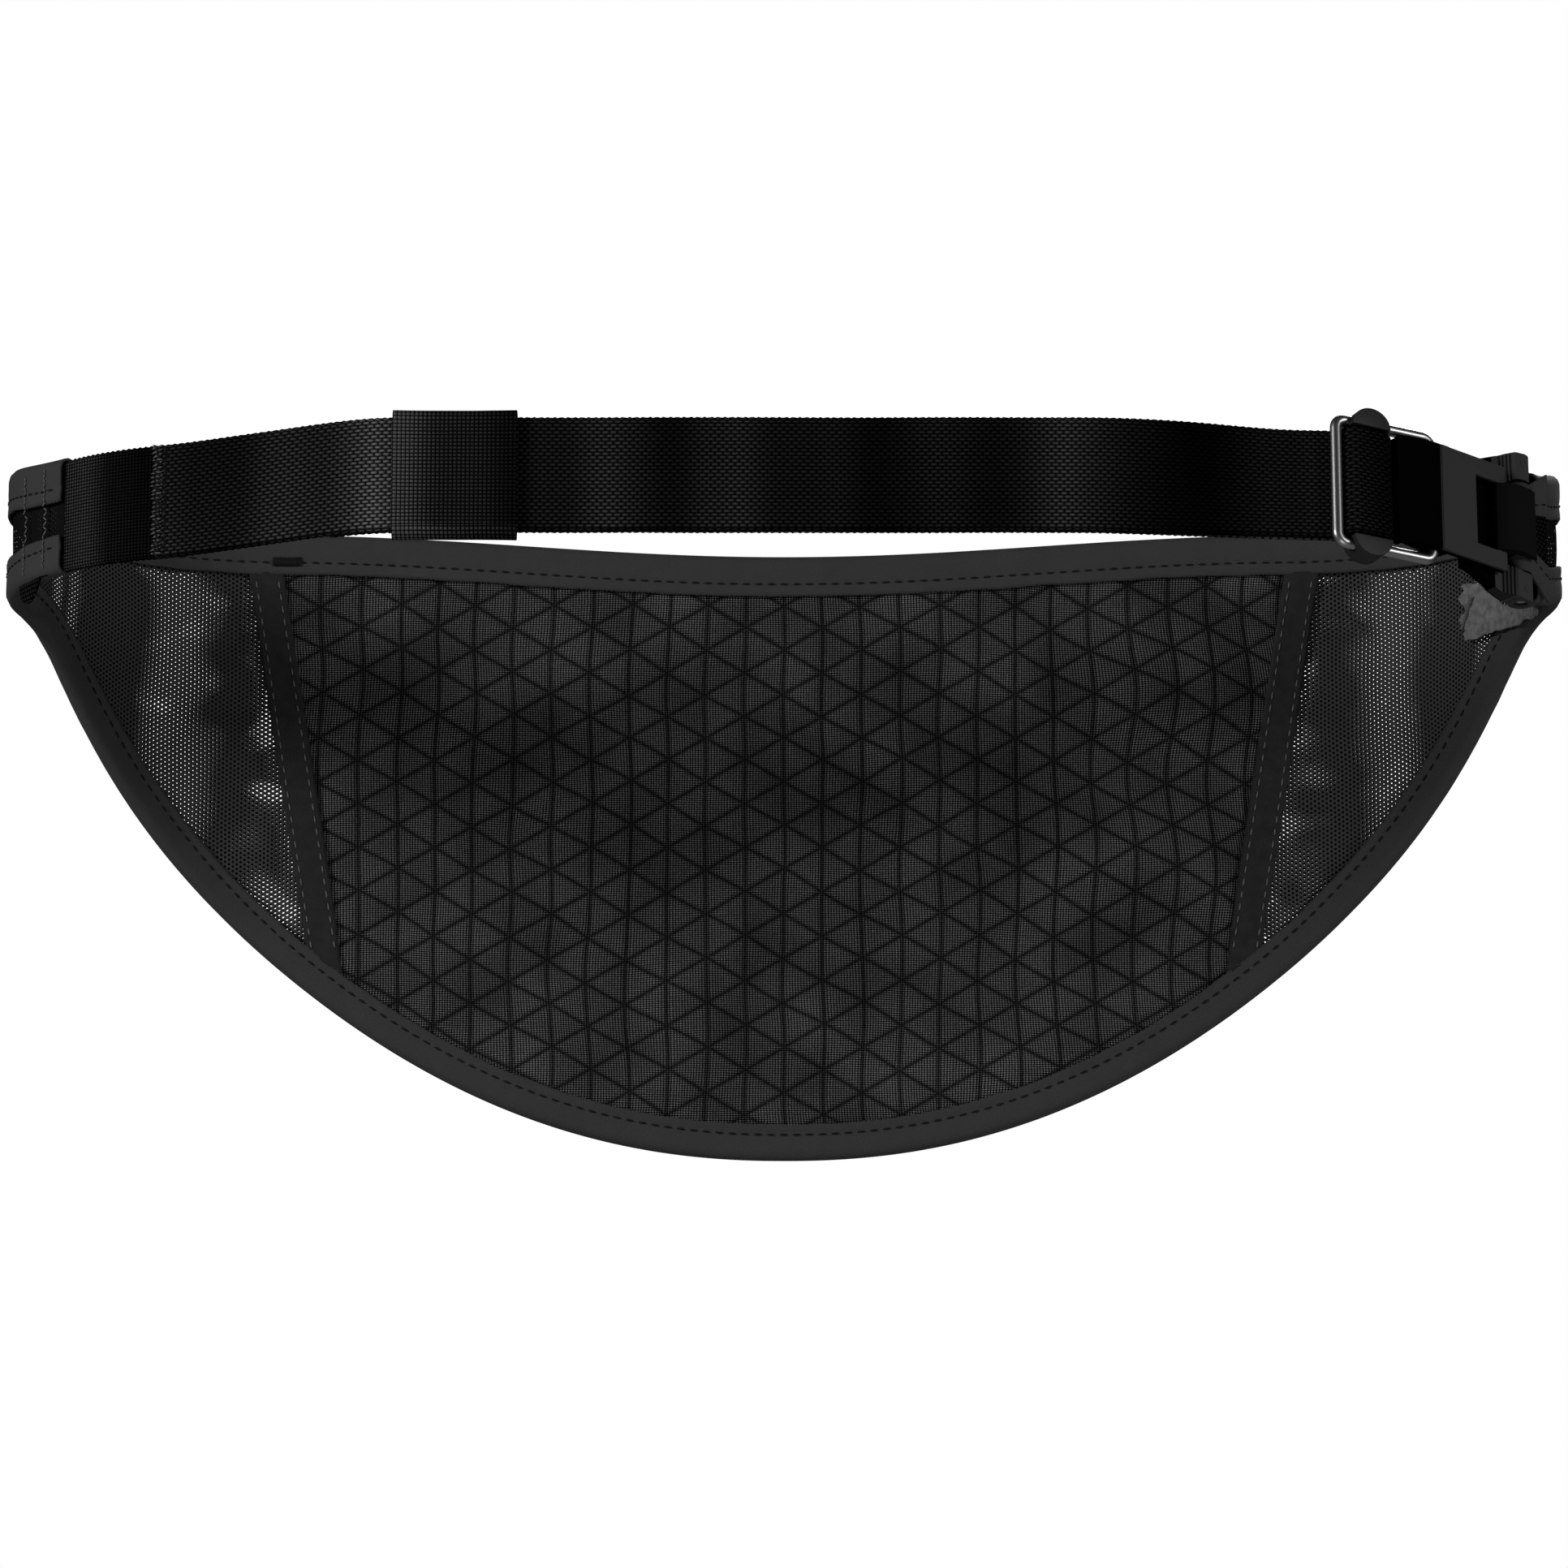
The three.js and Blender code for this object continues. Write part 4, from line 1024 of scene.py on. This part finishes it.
def webbing_place(across, up):
    height, offset, girth = band_edge(up, STRAP_WIDTH, STRAP_THICK)
    length = webbing_lengths[-1] * across
    edge = smooth(STRAP_WIDTH / 2 - 1.2, STRAP_WIDTH / 2, abs(height))
    loose = smooth(0, 25, length) * (1 - smooth(205, 235, length)) + smooth(290, 320, length)
    sway = loose * 0.35 * noise.noise(Vector((length / 17, 0.4 * height / 17, 2.5)))
    height += edge * 0.12 * math.sin(2 * math.pi * length / 0.87) * (1 if height > 0 else -1)
    return length, offset + min(0.25, sway), height, length, girth


# The webbing is painted darker from 70 to 120 mm past its joint and on to its end, so that its first length
# stands lighter, as painted light.
webbing_weave = weave_finish("webbing_yarn", 0.17, 0.077, 0.5, 0.3, dims=((7, 12, 0.7),))
webbing = surface("strap_webbing", 900, 44, webbing_place, webbing_weave, at=on_webbing, closed=True)
set_on(webbing, "strap", "webbing", "webbing")


def elastic_place(across, up):
    height, offset, girth = band_edge(up, STRAP_WIDTH, ELASTIC_THICK)
    run = -(ELASTIC_END + 1.6) + (ELASTIC_END + 1.6 - 239.6) * across
    wave = 0.12 * math.sin(2 * math.pi * run / 1.4) * (1 if height > 0 else -1)
    edge = smooth(STRAP_WIDTH / 2 - 1, STRAP_WIDTH / 2, abs(height))
    return run, offset, STRAP_AT_TAB + height + edge * wave, run, girth


# The elastic is painted darker towards its end at the webbing joint, as painted shadow.
elastic_weave = weave_finish(
    "elastic_rib", 0.08, 0.07, 0.0, 0.3, light=(0.06, 0.06, 0.06), dims=((-24.3, -25.4, 0.8),),
)
elastic = surface("strap_elastic", 120, 44, elastic_place, elastic_weave, closed=True)
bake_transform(elastic)
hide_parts("elastic_strap")

joint, joint_dark = [], []
for i in range(26):
    low = -STRAP_WIDTH / 2 + 0.8 + (STRAP_WIDTH - 1.6) * i / 25
    jog = 0.9 * noise.noise(Vector((i * 1.7, 0.5, 0)))
    lean = 1.1 * noise.noise(Vector((i * 0.9, 4.5, 0)))
    joint.append(((0.5 + jog, -0.85, low - lean / 2), (3.1 - jog / 2, -0.85, low + 0.6 + lean / 2)))
    joint_dark.append(((3.6, -0.8, low - 0.4), (3.6 + jog / 3, -0.8, low + 0.4)))
    joint_dark.append(((0.9 + jog, -1.0, low + 0.9), (2.9, -1.0, low - 0.6 + lean)))
thread("strap_joint_stitches", joint, "strap", "webbing", at=on_webbing, bead=0.5)
thread("strap_joint_overlock", joint_dark, "strap", "webbing", at=on_webbing, bead=0.55, yarn=shaded_thread)


# ---- Keeper ------------------------------------------------------------------------------
# A loop of wide ribbed elastic, folded round the strap and its tail and sewn to itself at
# the back. It holds the tail flat, and slides along the strap.
KEEPER_AT = -69.0
KEEPER_LENGTH = 26.0
KEEPER_EASE = 0.5
KEEPER_THICK = 1.2
KEEPER_FRONT = STRAP_LINE - STRAP_THICK / 2 - 0.3
KEEPER_BACK = TAIL_LINE + STRAP_THICK / 2 + 0.3


def keeper_place(across, up):
    half = STRAP_WIDTH / 2 + KEEPER_EASE + KEEPER_THICK / 2
    deep = (KEEPER_BACK - KEEPER_FRONT + KEEPER_THICK) / 2
    bend = deep * 0.85
    flat, side = 2 * (half - bend), 2 * (deep - bend)
    quarter = math.pi * bend / 2
    girth = up * (2 * flat + 2 * side + 4 * quarter)
    legs = ((flat, -half + bend, -deep, 0), (side, half, -deep + bend, 90),
            (flat, half - bend, deep, 180), (side, -half, deep - bend, 270))
    walked = girth
    for length, height, offset, turned in legs:
        angle = math.radians(turned)
        if walked <= length:
            spot = (height + walked * math.cos(angle), offset + walked * math.sin(angle))
            break
        walked -= length
        corner = (height + length * math.cos(angle), offset + length * math.sin(angle))
        if walked <= quarter or turned == 270:
            part = angle + walked / bend
            spot = (corner[0] + bend * (math.sin(part) - math.sin(angle)),
                    corner[1] + bend * (math.cos(angle) - math.cos(part)))
            break
        walked -= quarter
    x = KEEPER_AT + KEEPER_LENGTH * (across - 0.5)
    lip = 0.2 * noise.noise(Vector((girth / 6, across * 3, 4)))
    sag = 0.35 * math.sin(math.pi * across) * smooth(0.2, 1, abs(spot[0]) / half)
    sag *= -1 if spot[0] > 0 else 0.6
    proud = 0.25 * (ridge(across, 0.02, 0.05) + ridge(across, 0.98, 0.05)) * (1 if spot[1] > 0 else -1)
    middle = (KEEPER_FRONT + KEEPER_BACK) / 2
    return x, middle + spot[1] + 0.4 * proud, spot[0] + lip * 0.3 + 0.3 * sag, x, girth


def on_front(x, y, height):
    return Vector((x, y, STRAP_HEIGHT + height)) * MM


keeper_weave = weave_finish("keeper_rib", 0.09, 0.08, 0.0, 0.4, light=(0.08, 0.08, 0.08))
keeper = surface("keeper_band", 56, 150, keeper_place, keeper_weave, 1.05, at=on_front)
set_on(keeper, "keeper", "elastic", "keeper_loop")
rows = [((KEEPER_AT - 12, KEEPER_BACK + 1.25, z), (KEEPER_AT + 12, KEEPER_BACK + 1.25, z)) for z in (-3, 3)]
seam = [pair for row in rows for pair in row_of(row)]
thread("keeper_seam_stitches", seam, "keeper", "elastic", at=on_front)


# ---- Adjuster ring -----------------------------------------------------------------------
# A rectangle of polished wire, welded shut, with a moulded bar across it that the webbing
# wraps. The bar's half-moon ends slide along the ring's rails.
RING_CORNER = 2.0
PLASTIC = (0.011, 0.011, 0.011)


def ring_place(across, up):
    right, high = RING_LENGTH - RING_CORNER, RAIL_HEIGHT - RING_CORNER
    bend = math.pi / 2 * RING_CORNER
    walked = across * (2 * (right - RING_CORNER) + 4 * high + 4 * bend)
    legs = ((2 * high, RING_LENGTH, -high, 90), (right - RING_CORNER, right, RAIL_HEIGHT, 180),
            (2 * high, 0, high, 270), (right - RING_CORNER, RING_CORNER, -RAIL_HEIGHT, 360))
    for length, x, z, turned in legs:
        angle = math.radians(turned)
        if walked <= length:
            x, z = x + walked * math.cos(angle), z + walked * math.sin(angle)
            break
        walked -= length
        if walked <= bend or turned == 360:
            start = angle
            angle += walked / RING_CORNER
            x += length * math.cos(start) + RING_CORNER * (math.sin(angle) - math.sin(start))
            z += length * math.sin(start) + RING_CORNER * (math.cos(start) - math.cos(angle))
            break
        walked -= bend
    around = 2 * math.pi * up
    out = RING_WIRE * math.cos(around)
    return x + out * math.sin(angle), RING_WIRE * math.sin(around), z - out * math.cos(angle)


steel = finish_of("polished_steel", (0.22, 0.22, 0.22), 0.36, metallic=1.0)
bump(steel, speckle(steel, 0.4, detail=2), 0.01)
ring = surface("adjuster_ring", 220, 24, ring_place, steel, at=ring_at, closed=True)
set_on(ring, "ring", "gunmetal_wire", "ring_wire")

plastic = finish_of("moulded_black", PLASTIC, 0.5, specular=0.12)
bump(plastic, speckle(plastic, 0.22, detail=3), 0.035)
tint(plastic, speckle(plastic, 6, detail=4), (0.008, 0.008, 0.008), (0.014, 0.014, 0.014))
from_cad("adjuster_bar", "slider_bar", plastic, "strap", "buckle_plastic", 0.5, segments=4)


# ---- Buckle ------------------------------------------------------------------------------
# A flat hook with an eye round the ring's leg and a window, whose rolled end turns in behind
# the bar of a yoke. The yoke's arms reach out to a steel pin in the right tab.
HOOK_HEIGHT = 24.0
PLATE_FRONT = -2.9
TONGUE_HALF = 7.85
TONGUE_FROM = 16.0
YOKE_BAR_TO = 17.8
PARTING_TO = 22.0
PARTING_PITCH = 0.52
YOKE_BOSS = 17.0


def moulded_finish():
    """Fine spark texture on the plates; the lip and the rolled end are smooth. The plates'
    front face is painted lighter, as lit, and the lip, the rolled end and the other faces darker,
    as painted shade.
    """
    material = finish_of("moulded_plate", PLASTIC, 0.5, specular=0.0)
    _, run, depth = pattern_axes(material)
    nodes, links = nodes_of(material)
    past_lip = fade(material, run, 0.02, 0.05)
    on_face = fade(material, depth, -0.2, -0.25)
    rise = nodes.new("ShaderNodeVectorMath")
    rise.operation = "DOT_PRODUCT"
    rise.inputs[1].default_value = buckle_turn.col[2]
    links.new(nodes.new("ShaderNodeTexCoord").outputs["Object"], rise.inputs[0])
    above = sum_of(material, "SUBTRACT", rise.outputs["Value"], MM * buckle_spot.dot(buckle_turn.col[2]))
    tongue = sum_of(material, "LESS_THAN", sum_of(material, "ABSOLUTE", above, 0), TONGUE_HALF * MM)
    tongue = times(material, tongue, sum_of(material, "GREATER_THAN", run, TONGUE_FROM / 10))
    plain = sum_of(material, "SUBTRACT", 1, times(material, tongue, 0.85))
    textured_and_lit = times(material, times(material, past_lip, on_face), plain)
    bump(material, times(material, speckle(material, 0.16, detail=4), textured_and_lit), 0.09)
    # Painted light and shade: the front face is tinted lighter than the lip, the other faces and the rolled
    # end.
    tint(material, textured_and_lit, (0.001, 0.001, 0.001), (0.033, 0.033, 0.033))
    return material


def yoke_finish():
    """The same fine texture all over, with the mould's fine parting lines on the narrow sides."""
    material = finish_of("moulded_yoke", (0.02, 0.02, 0.02), 0.5, specular=0.0)
    _, run, depth = pattern_axes(material)
    bump(material, speckle(material, 0.16, detail=4), 0.08)
    bar_ends = sum_of(material, "GREATER_THAN", run, YOKE_BAR_TO / 10)
    lined = sum_of(material, "LESS_THAN", run, PARTING_TO / 10)
    lines = times(material, arch(material, depth, PARTING_PITCH / 10), lined)
    bump(material, lines, 0.22)
    plain = sum_of(material, "SUBTRACT", 1, lined)
    # Painted light and shade: the parting lines are lighter on their ridges than in their grooves, and the
    # bar, where the hook's rolled end wraps round it, is painted near black as shade.
    lit = times(material, plus(material, lines, plain), bar_ends)
    tint(material, lit, (0.001, 0.001, 0.001), (0.034, 0.034, 0.034))
    return material


def in_buckle(point):
    return buckle_turn.transposed() @ (point / MM - buckle_spot)


moulded = moulded_finish()
yoke_mould = yoke_finish()
from_cad("hook_body", "hook_plate", moulded, "hook", "buckle_plastic", 0.3, segments=4,
         local=lambda point: in_buckle(point).xy)
from_cad("yoke_body", "yoke", yoke_mould, "yoke", "buckle_plastic", 0.4, segments=4,
         local=lambda point: in_buckle(point).xy)


def rounded_bar(name, x0, x1, y0, y1, z0, z1, material, body, edge):
    """A small moulded block in the buckle's own frame, with rounded edges."""
    bm = bmesh.new()
    size = Matrix.Diagonal((x1 - x0, y1 - y0, z1 - z0, 1))
    middle = Matrix.Translation(((x0 + x1) / 2, (y0 + y1) / 2, (z0 + z1) / 2))
    bmesh.ops.create_cube(bm, size=1, matrix=middle @ size)
    bmesh.ops.bevel(bm, geom=bm.edges[:], affect="EDGES", offset=edge, segments=3, profile=0.5, material=-1)
    for vert in bm.verts:
        vert.co = buckle_at(*vert.co)
    bm.verts.index_update()
    pattern_map(bm, {vert.index: in_buckle(vert.co).xy for vert in bm.verts})
    return set_on(finished(name, bm, material), body, "buckle_plastic")


rounded_bar("hook_step", 0.6, 2.8, PLATE_FRONT - 0.35, PLATE_FRONT + 0.6, -HOOK_HEIGHT / 2 + 0.05,
            HOOK_HEIGHT / 2 - 0.05, moulded, "hook", 0.25)
rounded_bar("hook_lip_return", -9.5, -7.9, -0.2, 2.4, -11.9, 11.9, moulded, "hook", 0.3)
for label, side in (("top", 1), ("bottom", -1)):
    mark = bmesh.new()
    bmesh.ops.create_cone(mark, cap_ends=True, segments=28, radius1=0.85, radius2=0.75, depth=0.3)
    spot = buckle_turn @ Matrix.Rotation(math.radians(90), 3, "X")
    spot = Matrix.Translation(buckle_at(PIN_AT - 0.6, -2.66, side * (YOKE_BOSS - 2.4))) @ spot.to_4x4()
    bmesh.ops.transform(mark, matrix=spot @ Matrix.Scale(MM, 4), verts=mark.verts)
    mark.verts.index_update()
    pattern_map(mark, {vert.index: (25, 0) for vert in mark.verts})
    set_on(finished(f"yoke_mark_{label}", mark, yoke_mould, smooth=False), "yoke", "buckle_plastic")


def pin_place(across, up):
    along, around = (across - 0.5) * 2, 2 * math.pi * up
    reach = 2 * YOKE_BOSS - 0.5
    radius = PIN_RADIUS * (1 - 0.15 * smooth(0.97, 1, abs(along)))
    return PIN_AT + radius * math.cos(around), radius * math.sin(around), along * reach / 2


pin = surface("yoke_steel_pin", 60, 24, pin_place, metal, at=buckle_at, closed=True)
set_on(pin, "yoke", "gunmetal_wire", "yoke_pin")


# ---- Right tab's end ---------------------------------------------------------------------
# The tab's layers turn round the pin and back, and their raw end is folded and sewn on the
# wearer's side. The two bindings carry on round the loop with dark net between them.
LOOP_HALF = 14.0
LOOP_PINCH = 10.2 / LOOP_HALF
LOOP_START = 226.5
LOOP_OPEN = math.radians(27)
LOOP_LEG = 6.5
BAND_PARTS = {
    "top": (LOOP_HALF - TOP_BINDING, LOOP_HALF, 2.4),
    "net": (-6.6, 5.1, 2.05),
    "bottom": (-LOOP_HALF, -LOOP_HALF + BOTTOM_BINDING, 2.4),
}


def loop_place(low, high, radius, across, up):
    """From the tab's outer face round the pin to the tab's inner face."""
    tall = low + (high - low) * up
    bow = math.pi * radius
    walked = across * (2 * LOOP_LEG + bow) - LOOP_LEG
    angle = LOOP_OPEN - math.pi / 2 - min(bow, max(0.0, walked)) / radius
    radius += 0.12 * noise.noise(Vector((walked / 3, tall / 3, 2)))
    near = Vector((PIN_AT + radius * math.cos(angle), radius * math.sin(angle), tall * LOOP_PINCH))
    if 0 < walked < bow:
        return *near, -walked, tall
    inner = walked >= bow
    far = in_buckle(wrap(LOOP_START, (-1 if inner else 1) * (radius + 0.5), 48.4 + tall))
    part = (walked - bow if inner else -walked) / LOOP_LEG
    return (*near.lerp(far, part), -walked, tall)


net_band = weave_finish("net_band", 0.12, 0.1, 0.5, 0.4, light=(0.035, 0.035, 0.035))
for label, (low, high, radius) in BAND_PARTS.items():
    band = surface(
        f"tab_loop_{label}", 70, 20,
        lambda across, up, low=low, high=high, radius=radius: loop_place(low, high, radius, across, up),
        net_band if label == "net" else binding_knit, 0.6, at=buckle_at,
    )
    set_on(band, "pouch", "mesh" if label == "net" else "binding", *(["pin_loop"] if label == "top" else []))
for label, height in (("upper", 7.4), ("lower", -8.8)):
    spots = [loop_place(height, height, 2.7, at, 0)[:3] for at in spread(0, 1, 40)]
    thread(f"tab_loop_stitches_{label}", row_of(spots), "pouch", "binding", at=buckle_at, yarn=shaded_thread)


def fold_place(across, up):
    """The folded raw end of the tab, torn at its free edge, along the inside of the wing."""
    run = 161 + 66 * across
    free = 1 - smooth(0, 0.12, across)
    torn = 2.2 * noise.noise(Vector((up * 4.5, 1.2, 6))) + 1.1 * noise.noise(Vector((up * 15, 3.1, 6)))
    low = 38.5 - 3.2 * smooth(0.3, 1, across) + 0.7 * noise.noise(Vector((run / 4, 0.3, 1)))
    high = 51.5 - 8.5 * smooth(0.02, 0.3, across) + 0.9 * noise.noise(Vector((run / 3, 7.3, 1)))
    curl = free * 0.5 * noise.noise(Vector((up * 3, across * 20, 2)))
    offset = -3.3 - 0.5 * noise.noise(Vector((run / 6, up * 2, 5))) - abs(curl)
    return run + free * torn * 1.6, offset, low + (high - low) * up


raw_cloth = finish_of("raw_cloth", BINDING, 0.9, specular=0.05)
tint(raw_cloth, speckle(raw_cloth, 1.6, detail=5), (0.02, 0.02, 0.02), (0.19, 0.19, 0.19))
bump(raw_cloth, speckle(raw_cloth, 0.9, detail=5), 0.5)
fold = surface("tab_raw_end", 160, 24, fold_place, raw_cloth, 0.5)
set_on(fold, "pouch", "binding", "tab_fold")
pairs = []
for i in range(14):
    run = 160.5 + 0.25 * i
    pairs.append(((run, -4.0, 41 + 0.5 * i), (run + 1.6, -4.0, 41.4 + 0.5 * i)))
thread("tab_raw_end_stitches", pairs, "pouch", "binding")


# ---- Left tab's end ----------------------------------------------------------------------
# The left tab is sewn over the elastic with two rows of zigzag stitches that cross the net
# between its bindings. A scrap of the net is folded under its lower corner.
for label, run in (("near", -226.5), ("far", -235.5)):
    pairs = []
    heights = spread(TAB_BOTTOM[-1] + 1.5, TAB_TOP[-1] - 1.5, 22)
    for i in range(len(heights) - 1):
        swing = 0.7 if 47 < heights[i] < 54 else 0.25
        first, last = (swing, -swing) if i % 2 else (-swing, swing)
        bulge = -2.3 if heights[i] < 47 or heights[i] > 53.5 else -1.9
        for offset in (bulge, -bulge):
            pairs.append(((run + first, offset, heights[i]), (run + last, offset, heights[i + 1])))
    thread(f"tab_zigzag_{label}", pairs, "pouch", "mesh", bead=0.4)


def scrap_place(across, up):
    run = -221 - 15 * across
    low = bottom_edge(run) - 4.6 * math.sin(math.pi * min(1, across * 1.25)) ** 0.8
    pucker = 0.3 * noise.noise(Vector((run / 3, up, 3)))
    return run, 1.1 + pucker - 0.6 * up, low + (bottom_edge(run) + 3 - low) * up


scrap = surface("tab_net_scrap", 30, 12, scrap_place, net_band, 0.5)
set_on(scrap, "pouch", "mesh")
